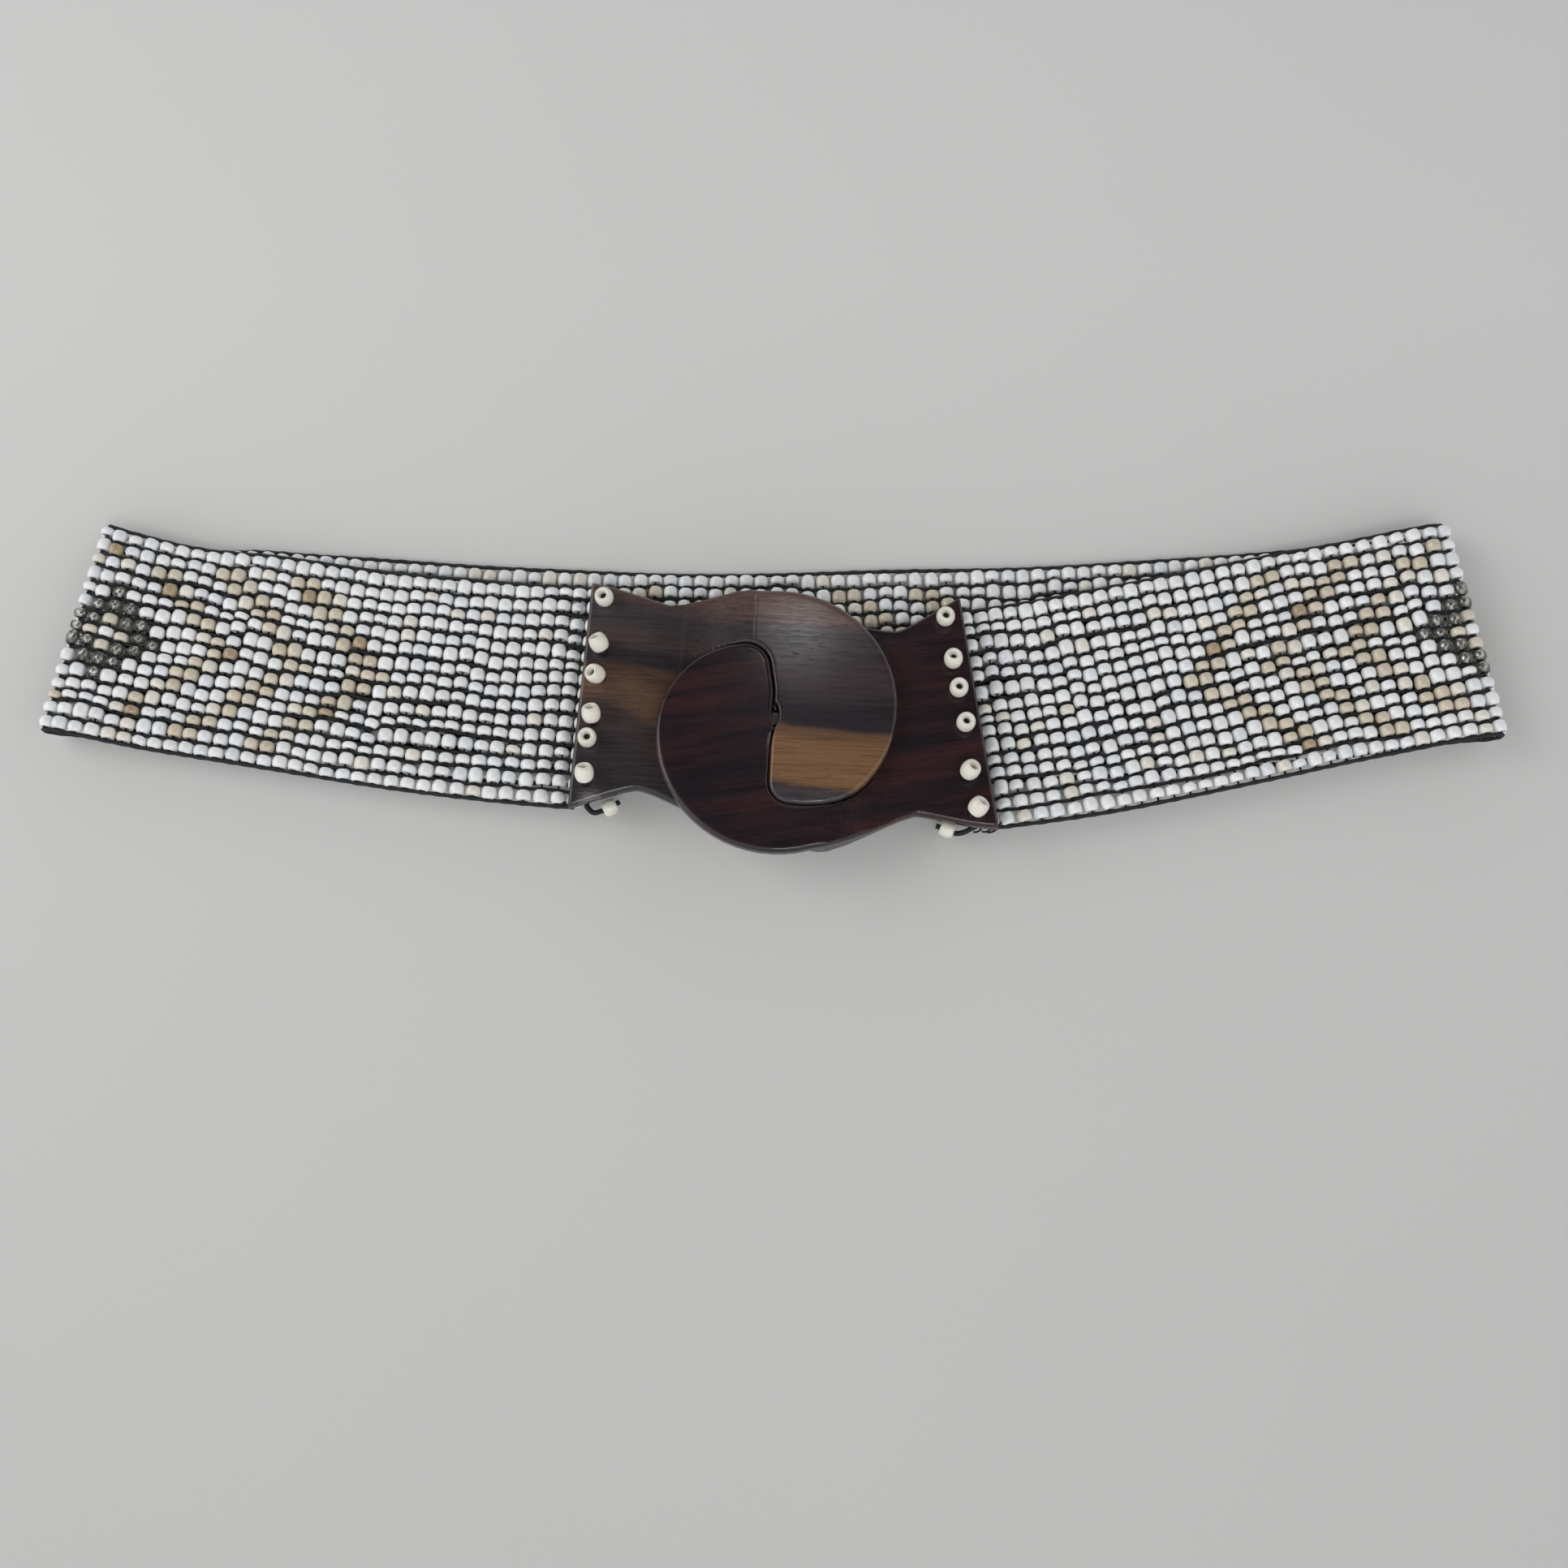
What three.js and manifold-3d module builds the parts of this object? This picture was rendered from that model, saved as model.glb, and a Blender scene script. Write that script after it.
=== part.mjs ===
// Beaded belt with a carved wooden hook buckle, lying flat as a fastened loop.
// Millimetres, +Z up. The belt rests on z = 0, +X runs along the band and +Y across it.
// Sizes are worked out around the buckle's eye, the small opening between the two hooks.

import * as THREE from 'three';
import { mergeVertices } from 'three/addons/utils/BufferGeometryUtils.js';
import Module from 'manifold-3d';

const wasm = await Module();
wasm.setup();

// Clearance between pieces that lie on or beside each other.
const fitGap = 0.3;

// The woven band: as thick as one seed bead, and one strip folded over at both ends of the loop.
const bandThickness = 4.5;
const bandWidth = 65.6;
const bandEdgeRound = 1.6;
const foldRadius = 4;
const foldLiftLength = 30;
const leftFoldX = -195.3;
const leftFoldY = 29.8;
const leftFoldTurn = -9.8;
const rightFoldX = 194.8;
const rightFoldY = 28.45;
const rightFoldTurn = 7.8;
const bandAboveEye = 5.9;

// How far a stretch's curve keeps the heading of its ends, as shares of the stretch's length.
const headingShare = 1 / 3;
const backLeavingShare = 1 / 4;

// How finely the band's stretches and folds are divided.
const frontSteps = 18;
const backSteps = 24;
const foldSteps = 8;

// The buckle: two like halves, each a plate at the low level and a hook at the high level.
const plateThickness = 4;
const hookThickness = 4;
const plateOverhang = 1.1;
const plateAboveEye = 5.2;
const leftLacingReach = 53.3;
const rightLacingReach = 56.1;
const leftHalfTurn = -3;
const rightHalfTurn = 8.2;
const discRadius = 33.3;
const hookEdgeInset = 0.65;
const hiddenTuck = 5.5;
const rimTuck = 1;
const hiddenRound = 12;
const partingGap = 0.6;
const edgeEase = 0.7;
const eyeWidth = 2.4;
const eyeLength = 7;
const rampStart = 27;
const rampEnd = 7;
const rimStep = 6;

// The halves are carved by hand and differ a little. Each is given in its own frame.
// rise: how far the disc's middle lies above the eye, rimFrom: degrees where the rim joins the disc's circle,
// tipRound: radius of the hook's tip, tipDepth: how far the middle of that rounding lies below the eye,
// upperReach and lowerReach: how far the corners of the plate's end lie from the eye,
// cornerIn: how far these corners fall short of the plate's width.
// The waists, where the plate meets the disc, are shares of the disc's radius from its middle.
const leftShape = {
    rise: 3.5,
    rimFrom: -40,
    tipRound: 5.8,
    tipDepth: 19.2,
    upperReach: leftLacingReach + 0.8,
    lowerReach: leftLacingReach + 1.7,
    cornerIn: 0.7,
    upperWaist: { x: -0.93, y: 0.87 },
    lowerWaist: { x: -1.085, y: -0.76 },
};
const rightShape = {
    rise: 5.5,
    rimFrom: -10,
    tipRound: 6.8,
    tipDepth: 15.2,
    upperReach: rightLacingReach - 0.6,
    lowerReach: rightLacingReach + 0.7,
    cornerIn: 0,
    upperWaist: { x: -1.02, y: 0.805 },
    lowerWaist: { x: -1.12, y: -0.8 },
};

// The tip's rounding ends at this angle, where the rim's curve takes over.
const tipEndAngle = 266;
const rimHandle = 0.39;
const rimEndAngle = 97;

// Lacing: round beads on the plates, black cord through plate and beads.
const lacingBeadDiameter = 5.3;
const lacingBeadLength = 4.6;
const tieBeadDiameter = 4.6;
const tieBeadLength = 4;
const beadHole = 1.5;
const cordDiameter = 0.8;
const plateHole = 1.5;
const leftLacingInset = 3;
const rightLacingInset = 5;
const beadSides = 12;
const cordSides = 8;

// One row for each lacing bead, from the top of the photograph down.
// along: share of the plate's end edge from its lower corner, inset: share of the lacing inset,
// tilt: degrees the bead leans from upright, toward: the way it leans, degrees from +X.
const leftLacing = [
    { along: 0.906, inset: 1.15, tilt: 8, toward: 190 },
    { along: 0.699, inset: 1.07, tilt: 48, toward: 125 },
    { along: 0.563, inset: 1.0, tilt: 32, toward: 180 },
    { along: 0.392, inset: 0.97, tilt: 42, toward: 100 },
    { along: 0.291, inset: 0.78, tilt: 3, toward: 0 },
    { along: 0.139, inset: 0.85, tilt: 46, toward: 95 },
];
const rightLacing = [
    { along: 0.906, inset: 0.96, tilt: 2, toward: 0 },
    { along: 0.717, inset: 0.98, tilt: 14, toward: 85 },
    { along: 0.591, inset: 0.96, tilt: 2, toward: 0 },
    { along: 0.44, inset: 0.94, tilt: 6, toward: 20 },
    { along: 0.236, inset: 1.2, tilt: 34, toward: 30 },
    { along: 0.08, inset: 1.14, tilt: 50, toward: 35 },
];

// The cord's tail runs from the last lacing bead out below the plate and through the tie bead.
// Places are kept from the corner of the plate's end, along the plate and outwards past its edge.
// The row marked bead is where the tie bead sits.
const leftTail = [
    { inward: 2.6, outward: -3.4 },
    { inward: 2.5, outward: -0.4 },
    { inward: 4.9, outward: 0.7 },
    { inward: 7.1, outward: -1.2 },
    { inward: 9, outward: -2.8, bead: true },
    { inward: 11.6, outward: -4.6 },
];
const rightTail = [
    { inward: 5.8, outward: -2.8 },
    { inward: 6.2, outward: -0.2 },
    { inward: 8.6, outward: 0.1 },
    { inward: 11.2, outward: -1.4 },
    { inward: 13.7, outward: -2.9, bead: true },
    { inward: 16.6, outward: -4.3 },
];

// Heights that follow from the layers.
const backHeight = bandThickness / 2;
const frontHeight = backHeight + bandThickness + fitGap;
const plateBottom = frontHeight + bandThickness / 2 + fitGap;
const plateTop = plateBottom + plateThickness;
const hookBottom = plateTop + fitGap;
const hookTop = hookBottom + hookThickness;
const plateHalfWidth = bandWidth / 2 + plateOverhang;

const glass = { color: 0xe9e7e2, roughness: 0.3, metalness: 0 };
const materials = {
    band: new THREE.MeshStandardMaterial({ color: 0xdcdcda, roughness: 0.35, metalness: 0 }),
    leftWood: new THREE.MeshStandardMaterial({ color: 0x4a3a30, roughness: 0.45, metalness: 0 }),
    rightWood: new THREE.MeshStandardMaterial({ color: 0x2a1f20, roughness: 0.4, metalness: 0 }),
    bead: new THREE.MeshStandardMaterial(glass),
    cord: new THREE.MeshStandardMaterial({ color: 0x101214, roughness: 0.8, metalness: 0 }),
};

const radians = THREE.MathUtils.degToRad;

// Turns a closed geometry into a solid that can be joined and cut.
function toSolid(geometry) {
    const bare = geometry.index ? geometry.toNonIndexed() : geometry.clone();
    bare.deleteAttribute('normal');
    bare.deleteAttribute('uv');
    const merged = mergeVertices(bare, 1e-4);
    const vertProperties = new Float32Array(merged.attributes.position.array);
    const triVerts = new Uint32Array(merged.index.array);
    return new wasm.Manifold(new wasm.Mesh({ numProp: 3, vertProperties, triVerts }));
}

function toGeometry(solid) {
    const mesh = solid.getMesh();
    const geometry = new THREE.BufferGeometry();
    geometry.setAttribute('position', new THREE.BufferAttribute(new Float32Array(mesh.vertProperties), 3));
    geometry.setIndex(new THREE.BufferAttribute(new Uint32Array(mesh.triVerts), 1));
    const faceted = geometry.toNonIndexed();
    faceted.computeVertexNormals();
    return faceted;
}

// A straight prism over an outline, from one height to another, with its edges eased.
function prism(points, bottom, top, ease = 0) {
    const geometry = new THREE.ExtrudeGeometry(new THREE.Shape(points), {
        depth: top - bottom - 2 * ease,
        bevelEnabled: ease > 0,
        bevelThickness: ease,
        bevelSize: ease,
        bevelOffset: -ease,
        bevelSegments: 1,
    });
    return geometry.translate(0, 0, bottom + ease);
}

// Points of a cubic curve between two places, without its last point.
function curvePoints(from, fromHandle, toHandle, to, count) {
    return new THREE.CubicBezierCurve(from, fromHandle, toHandle, to).getPoints(count).slice(0, -1);
}

function arcPoints(centre, radius, fromAngle, toAngle, count) {
    return Array.from({ length: count + 1 }, (_, i) => {
        const angle = radians(fromAngle + ((toAngle - fromAngle) * i) / count);
        return new THREE.Vector2(centre.x + radius * Math.cos(angle), centre.y + radius * Math.sin(angle));
    });
}

// The place at a distance and an angle from another place.
function pointAt(centre, radius, angle) {
    return arcPoints(centre, radius, angle, angle, 1)[0];
}

function discCentre(shape) {
    return new THREE.Vector2(0, shape.rise);
}

function tipCentre(shape) {
    return new THREE.Vector2(shape.tipRound - hookEdgeInset, -shape.tipDepth);
}

// Place of a waist, from its shares of the disc's radius.
function waistPoint(shape, waist) {
    return new THREE.Vector2(waist.x * discRadius, shape.rise + waist.y * discRadius);
}

// The rim: a curve from the tip's rounding out to the disc's circle, and on along the circle.
function rimPoints(shape, grow, toAngle) {
    const centre = discCentre(shape);
    const from = pointAt(tipCentre(shape), shape.tipRound + grow, tipEndAngle);
    const to = pointAt(centre, discRadius + grow, shape.rimFrom);
    const handle = rimHandle * from.distanceTo(to);
    const leaving = pointAt(from, handle, tipEndAngle + 90);
    const arriving = pointAt(to, handle, shape.rimFrom - 90);
    const count = Math.round((toAngle - shape.rimFrom) / rimStep);
    return [
        ...curvePoints(from, leaving, arriving, to, Math.round(from.distanceTo(to) / 4)),
        ...arcPoints(centre, discRadius + grow, shape.rimFrom, toAngle, count),
    ];
}

// The hook's inner edge from the eye down to the tip, and the tip's rounding, grown by a clearance.
function innerEdgeAndTip(shape, grow) {
    const edgeX = -hookEdgeInset - grow;
    const eyeSide = new THREE.Vector2(hookEdgeInset - grow, 0);
    const straightTop = new THREE.Vector2(edgeX, -0.27 * discRadius);
    const curve = curvePoints(
        eyeSide,
        new THREE.Vector2(hookEdgeInset - grow, -0.09 * discRadius),
        new THREE.Vector2(edgeX, -0.16 * discRadius),
        straightTop,
        4,
    );
    const rounding = arcPoints(tipCentre(shape), shape.tipRound + grow, 180, tipEndAngle, 6);
    return [...curve, straightTop, ...rounding];
}

// Upper outline of a half: hook, disc and arm, out to the upper waist and back to the eye.
function upperOutline(shape) {
    const rim = rimPoints(shape, 0, rimEndAngle);
    const rimEnd = rim[rim.length - 1];
    const waist = waistPoint(shape, shape.upperWaist);
    const arm = curvePoints(
        rimEnd,
        new THREE.Vector2(rimEnd.x - 0.27 * discRadius, rimEnd.y + 0.03 * discRadius),
        new THREE.Vector2(waist.x + 0.24 * discRadius, waist.y + 0.02 * discRadius),
        waist,
        6,
    ).slice(1);
    const inside = new THREE.Vector2(waist.x, 0.3 * discRadius);
    return [...innerEdgeAndTip(shape, 0), ...rim.slice(1), ...arm, waist, inside];
}

// What the other half keeps clear of: the hook and its tip, grown by a clearance.
function hookClearance(shape, grow) {
    const pastDisc = 15;
    return [...innerEdgeAndTip(shape, grow), ...rimPoints(shape, grow, pastDisc).slice(1)];
}

// Low outline of a half: the plate from its end edge to the parting line, under the other hook.
function plateOutline(shape, otherShape) {
    const upper = waistPoint(shape, shape.upperWaist);
    const lower = waistPoint(shape, shape.lowerWaist);
    const pastParting = 0.2 * discRadius;
    const halfWidth = plateHalfWidth - shape.cornerIn;
    const upperCorner = new THREE.Vector2(-shape.upperReach, plateAboveEye + halfWidth);
    const lowerCorner = new THREE.Vector2(-shape.lowerReach, plateAboveEye - halfWidth);
    const rimEnd = pointAt(discCentre(shape), discRadius - rimTuck, rimEndAngle);
    const hiddenEnd = new THREE.Vector2(pastParting, hiddenTuck - discRadius - otherShape.rise);
    const alongPlate = (corner, waist, share) => THREE.MathUtils.lerp(corner.x, waist.x, share);
    const upperFlank = curvePoints(
        upperCorner,
        new THREE.Vector2(alongPlate(upperCorner, upper, 0.35), upperCorner.y - 0.035 * discRadius),
        new THREE.Vector2(alongPlate(upperCorner, upper, 0.72), upper.y + 0.05 * discRadius),
        upper,
        6,
    );
    const armFlank = curvePoints(
        upper,
        new THREE.Vector2(upper.x + 0.24 * discRadius, upper.y + 0.02 * discRadius),
        new THREE.Vector2(rimEnd.x - 0.27 * discRadius, rimEnd.y + 0.03 * discRadius),
        rimEnd,
        6,
    );
    const hiddenEdge = curvePoints(
        hiddenEnd,
        new THREE.Vector2(-0.45 * discRadius, hiddenEnd.y),
        new THREE.Vector2(lower.x + 0.22 * discRadius, lower.y - 0.03 * discRadius),
        lower,
        7,
    );
    const lowerFlank = curvePoints(
        lower,
        new THREE.Vector2(lower.x - 0.06 * discRadius, lower.y + 0.01 * discRadius),
        new THREE.Vector2(alongPlate(lowerCorner, lower, 0.45), lowerCorner.y + 0.1 * discRadius),
        lowerCorner,
        6,
    );
    const acrossTop = [rimEnd, new THREE.Vector2(pastParting, shape.rise + discRadius - rimTuck)];
    return [...upperFlank, ...armFlank, ...acrossTop, ...hiddenEdge, ...lowerFlank, lowerCorner].reverse();
}

// A block that reaches well past the buckle, used to cut along the parting line.
function partingBlock(fromX, bottom, top) {
    const size = 4 * discRadius;
    const block = new THREE.BoxGeometry(size, size, top - bottom);
    return block.translate(fromX + size / 2, 0, (bottom + top) / 2);
}

// Everything above the ramp by which the arm climbs from the plate's level to the hook's.
function aboveRamp() {
    const size = 4 * discRadius;
    const side = new THREE.Shape([
        new THREE.Vector2(-size, plateTop),
        new THREE.Vector2(-rampStart, plateTop),
        new THREE.Vector2(-rampEnd, hookTop),
        new THREE.Vector2(-rampEnd, hookTop + size),
        new THREE.Vector2(-size, hookTop + size),
    ]);
    const block = new THREE.ExtrudeGeometry(side, { depth: 2 * size, bevelEnabled: false });
    return block.rotateX(Math.PI / 2).translate(0, size, 0);
}

// The long thin opening between the two hooks, cut through both halves.
function eyeCut() {
    const outline = arcPoints(new THREE.Vector2(), 1, 0, 348, 29);
    outline.forEach((point) => point.set((point.x * eyeWidth) / 2, (point.y * eyeLength) / 2));
    return prism(outline, plateBottom - plateThickness, hookTop + hookThickness);
}

// Plan place of a lacing bead, in the frame of its half.
function lacingPlace(row, reach, inset) {
    return new THREE.Vector2(-reach + row.inset * inset, plateAboveEye + (2 * row.along - 1) * plateHalfWidth);
}

// Unit vector along a lacing bead's hole, pointing up and out.
function lacingAxis(row) {
    const tilt = radians(row.tilt);
    const toward = radians(row.toward);
    return new THREE.Vector3(
        Math.sin(tilt) * Math.cos(toward),
        Math.sin(tilt) * Math.sin(toward),
        Math.cos(tilt),
    );
}

// Centre of a lacing bead that stands on the plate, whatever its lean.
function lacingCentre(row, reach, inset) {
    const place = lacingPlace(row, reach, inset);
    const tilt = radians(row.tilt);
    const corner = beadRound(lacingBeadDiameter);
    const flat = (lacingBeadLength / 2 - corner) * Math.cos(tilt);
    const side = (lacingBeadDiameter / 2 - corner) * Math.sin(tilt);
    return new THREE.Vector3(place.x, place.y, plateTop + fitGap + flat + side + corner);
}

// Where the cord comes up through the plate: below the mouth of the bead's hole.
function holePlace(row, reach, inset) {
    const centre = lacingCentre(row, reach, inset);
    const mouth = centre.addScaledVector(lacingAxis(row), -lacingBeadLength / 2 - cordDiameter);
    return new THREE.Vector2(mouth.x, mouth.y);
}

// One half of the buckle, in its own frame: plate to the left, hook to the right.
function buckleHalf(shape, otherShape, reach, turn, otherTurn, rows, inset) {
    const outward = radians(180 + otherTurn - turn);
    const otherHook = toSolid(
        prism(hookClearance(otherShape, partingGap), plateTop, hookTop + edgeEase).rotateZ(outward),
    );
    const ownSide = -partingGap / 2;
    const farPlate = toSolid(
        partingBlock(ownSide, plateBottom - plateThickness, plateTop + edgeEase).rotateZ(radians(-turn)),
    );
    const underHook = toSolid(
        partingBlock(ownSide, plateBottom - plateThickness, hookBottom).rotateZ(radians(-turn)),
    );
    const plate = toSolid(prism(plateOutline(shape, otherShape), plateBottom, plateTop, edgeEase))
        .subtract(farPlate)
        .subtract(toSolid(hiddenCorner(shape)));
    const arm = toSolid(prism(upperOutline(shape), plateBottom, hookTop, edgeEase))
        .subtract(otherHook)
        .subtract(toSolid(aboveRamp()))
        .subtract(underHook)
        .subtract(toSolid(underTip()))
        .subtract(toSolid(hiddenCorner(shape)));
    let half = plate.add(arm).subtract(toSolid(eyeCut().rotateZ(radians(-turn))));
    for (const row of rows) {
        const place = holePlace(row, reach, inset);
        const drill = arcPoints(place, plateHole / 2, 0, 324, 9);
        half = half.subtract(toSolid(prism(drill, plateBottom - edgeEase, hookTop)));
    }
    return toGeometry(half);
}

// Keeps the hook's tip off its own plate, where the inner edge leans past the parting line.
function underTip() {
    const size = 2 * discRadius;
    const block = new THREE.BoxGeometry(size, size, 2 * (hookBottom - plateBottom));
    return block.translate(0, -size / 2, plateBottom);
}

// Rounds off the plate's corner at the parting line, out of sight under the half's own hook.
function hiddenCorner(shape) {
    const top = shape.rise + discRadius;
    const outline = [
        new THREE.Vector2(discRadius, top + hiddenTuck),
        new THREE.Vector2(-hiddenRound, top + hiddenTuck),
        ...curvePoints(
            new THREE.Vector2(-hiddenRound, top),
            new THREE.Vector2(-0.4 * hiddenRound, top),
            new THREE.Vector2(0, top - 0.4 * hiddenTuck),
            new THREE.Vector2(0, top - hiddenTuck),
            6,
        ),
        new THREE.Vector2(0, top - hiddenTuck),
        new THREE.Vector2(discRadius, top - hiddenTuck),
    ].reverse();
    return prism(outline, plateBottom - plateThickness, hookBottom);
}

function beadRound(diameter) {
    return 0.48 * (diameter - beadHole) / 2;
}

// A drilled round bead: a rounded ring section turned about its hole, which runs along Z.
function beadGeometry(diameter, length) {
    const corner = beadRound(diameter);
    const outer = diameter / 2 - corner;
    const inner = beadHole / 2 + corner;
    const half = length / 2 - corner;
    const section = [
        ...arcPoints(new THREE.Vector2(outer, -half), corner, -90, 0, 2),
        ...arcPoints(new THREE.Vector2(outer, half), corner, 0, 90, 2),
        ...arcPoints(new THREE.Vector2(inner, half), corner, 90, 180, 2),
        ...arcPoints(new THREE.Vector2(inner, -half), corner, 180, 270, 2),
    ];
    const lathe = new THREE.LatheGeometry([...section, section[0]], beadSides);
    return lathe.rotateX(Math.PI / 2);
}

// A round cord along a smooth path.
function cordAlong(points, steps) {
    const section = new THREE.Shape(arcPoints(new THREE.Vector2(), cordDiameter / 2, 0, 315, cordSides - 1));
    const path = new THREE.CatmullRomCurve3(points, false, 'centripetal');
    return toSolid(new THREE.ExtrudeGeometry(section, { steps, extrudePath: path }));
}

// The tail's points, kept from the corner of the plate's end; side is -1 below and 1 above.
function tailPoints(tail, reach, side) {
    return tail.map(({ inward, outward }) => new THREE.Vector3(
        -reach + inward,
        plateAboveEye + side * (plateHalfWidth + outward),
        frontHeight,
    ));
}

// The lacing cord: a run along the band's end under the plate, a post up through each bead, and the tail.
function lacingCord(rows, reach, inset, tail, side) {
    const bases = rows.map((row) => {
        const place = holePlace(row, reach, inset);
        return new THREE.Vector3(place.x, place.y, frontHeight);
    });
    let cord = cordAlong([...bases, ...tailPoints(tail, reach, side)], 44);
    for (const row of rows) {
        const place = holePlace(row, reach, inset);
        const axis = lacingAxis(row);
        const centre = lacingCentre(row, reach, inset);
        const mouth = centre.clone().addScaledVector(axis, -lacingBeadLength / 2);
        const top = centre.clone().addScaledVector(axis, lacingBeadLength / 2 - cordDiameter);
        const post = [
            new THREE.Vector3(place.x, place.y, frontHeight),
            new THREE.Vector3(place.x, place.y, plateTop - fitGap),
            mouth,
            centre,
            top,
        ];
        cord = cord.add(cordAlong(post, 7));
    }
    return toGeometry(cord);
}

// Half the frame of the band's section at one station: its middle, and the direction across the band.
function station(point, heading) {
    return { point, across: new THREE.Vector3(-Math.sin(heading), Math.cos(heading), 0) };
}

// A stretch of the band seen from above: a cubic curve between two places with given headings.
function stretch(from, fromHeading, to, toHeading, steps, height, leavingShare = headingShare) {
    const leaving = leavingShare * from.distanceTo(to);
    const arriving = headingShare * from.distanceTo(to);
    const curve = new THREE.CubicBezierCurve(
        from,
        new THREE.Vector2(from.x + leaving * Math.cos(fromHeading), from.y + leaving * Math.sin(fromHeading)),
        new THREE.Vector2(to.x - arriving * Math.cos(toHeading), to.y - arriving * Math.sin(toHeading)),
        to,
    );
    return Array.from({ length: steps + 1 }, (_, i) => {
        const place = curve.getPoint(i / steps);
        const tangent = curve.getTangent(i / steps);
        return station(new THREE.Vector3(place.x, place.y, height(place)), Math.atan2(tangent.y, tangent.x));
    });
}

// Height of the front layer's middle: it lies on the back layer and lifts as it nears a fold.
function frontLayerHeight(fold) {
    const lift = backHeight + 2 * foldRadius - frontHeight;
    return (place) => {
        const nearness = 1 - THREE.MathUtils.clamp(place.distanceTo(fold) / foldLiftLength, 0, 1);
        return frontHeight + lift * THREE.MathUtils.smoothstep(nearness, 0, 1);
    };
}

// The half turn of a fold about its axis, from the upper layer to the lower one or back.
function foldTurn(fold, heading, outward, startAngle) {
    return Array.from({ length: foldSteps - 1 }, (_, i) => {
        const angle = startAngle + (Math.PI * (i + 1)) / foldSteps;
        const reach = outward * foldRadius * Math.abs(Math.sin(angle));
        const point = new THREE.Vector3(
            fold.x + reach * Math.cos(heading),
            fold.y + reach * Math.sin(heading),
            backHeight + foldRadius + foldRadius * Math.cos(angle),
        );
        return station(point, heading);
    });
}

// Middle of the band's end, tucked under the plate as far as the lacing leaves room.
function bandEnd(reach, turn, rows, inset) {
    const nearest = Math.min(...rows.map((row) => holePlace(row, reach, inset).x + reach));
    const tuck = nearest - cordDiameter / 2 - fitGap;
    return new THREE.Vector2(-reach + tuck, bandAboveEye).rotateAround(new THREE.Vector2(), radians(turn));
}

// All stations of the band, from the left plate round the loop to the right plate.
function bandStations() {
    const leftFold = new THREE.Vector2(leftFoldX, leftFoldY);
    const rightFold = new THREE.Vector2(rightFoldX, rightFoldY);
    const leftHeading = radians(leftFoldTurn);
    const rightHeading = radians(rightFoldTurn);
    const leftEnd = bandEnd(leftLacingReach, leftHalfTurn, leftLacing, leftLacingInset);
    const rightEnd = bandEnd(rightLacingReach, 180 + rightHalfTurn, rightLacing, rightLacingInset);
    const frontLeft = stretch(
        leftFold, leftHeading, leftEnd, radians(leftHalfTurn), frontSteps, frontLayerHeight(leftFold),
    ).reverse();
    const back = stretch(
        leftFold, leftHeading, rightFold, rightHeading, backSteps, () => backHeight, backLeavingShare,
    );
    const frontRight = stretch(
        rightEnd, radians(rightHalfTurn), rightFold, rightHeading, frontSteps, frontLayerHeight(rightFold),
    ).reverse();
    return [
        ...frontLeft,
        ...foldTurn(leftFold, leftHeading, -1, 0),
        ...back,
        ...foldTurn(rightFold, rightHeading, 1, Math.PI),
        ...frontRight,
    ];
}

// The band's section: a thin rectangle with rounded edges, as (across, through) pairs.
function bandSection() {
    const halfWidth = bandWidth / 2 - bandEdgeRound;
    const halfThickness = bandThickness / 2 - bandEdgeRound;
    return [
        ...arcPoints(new THREE.Vector2(halfWidth, -halfThickness), bandEdgeRound, -90, 0, 2),
        ...arcPoints(new THREE.Vector2(halfWidth, halfThickness), bandEdgeRound, 0, 90, 2),
        ...arcPoints(new THREE.Vector2(-halfWidth, halfThickness), bandEdgeRound, 90, 180, 2),
        ...arcPoints(new THREE.Vector2(-halfWidth, -halfThickness), bandEdgeRound, 180, 270, 2),
    ];
}

// The band: its section carried through all stations, with both ends closed.
function bandGeometry() {
    const stations = bandStations();
    const section = bandSection();
    const positions = [];
    stations.forEach(({ point, across }, i) => {
        const before = stations[Math.max(i - 1, 0)].point;
        const after = stations[Math.min(i + 1, stations.length - 1)].point;
        const forward = after.clone().sub(before);
        const through = forward.cross(across).normalize();
        for (const { x, y } of section) {
            const vertex = point.clone().addScaledVector(across, x).addScaledVector(through, y);
            positions.push(vertex.x, vertex.y, vertex.z);
        }
    });
    const index = [];
    const sides = section.length;
    for (let i = 0; i + 1 < stations.length; i += 1) {
        for (let j = 0; j < sides; j += 1) {
            const near = i * sides + j;
            const beside = i * sides + ((j + 1) % sides);
            index.push(near, beside, near + sides, beside, beside + sides, near + sides);
        }
    }
    const last = (stations.length - 1) * sides;
    for (let j = 1; j + 1 < sides; j += 1) {
        index.push(0, j + 1, j, last, last + j, last + j + 1);
    }
    const geometry = new THREE.BufferGeometry();
    geometry.setAttribute('position', new THREE.Float32BufferAttribute(positions, 3));
    geometry.setIndex(index);
    geometry.computeVertexNormals();
    return geometry;
}

function named(name, geometry, material) {
    const mesh = new THREE.Mesh(geometry, material);
    mesh.name = name;
    return mesh;
}

// A bead threaded on a cord: its hole lies along the given direction.
function threadedBead(name, diameter, length, centre, direction) {
    const bead = named(name, beadGeometry(diameter, length), materials.bead);
    bead.position.copy(centre);
    bead.quaternion.setFromUnitVectors(new THREE.Vector3(0, 0, 1), direction.clone().normalize());
    return bead;
}

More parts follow.
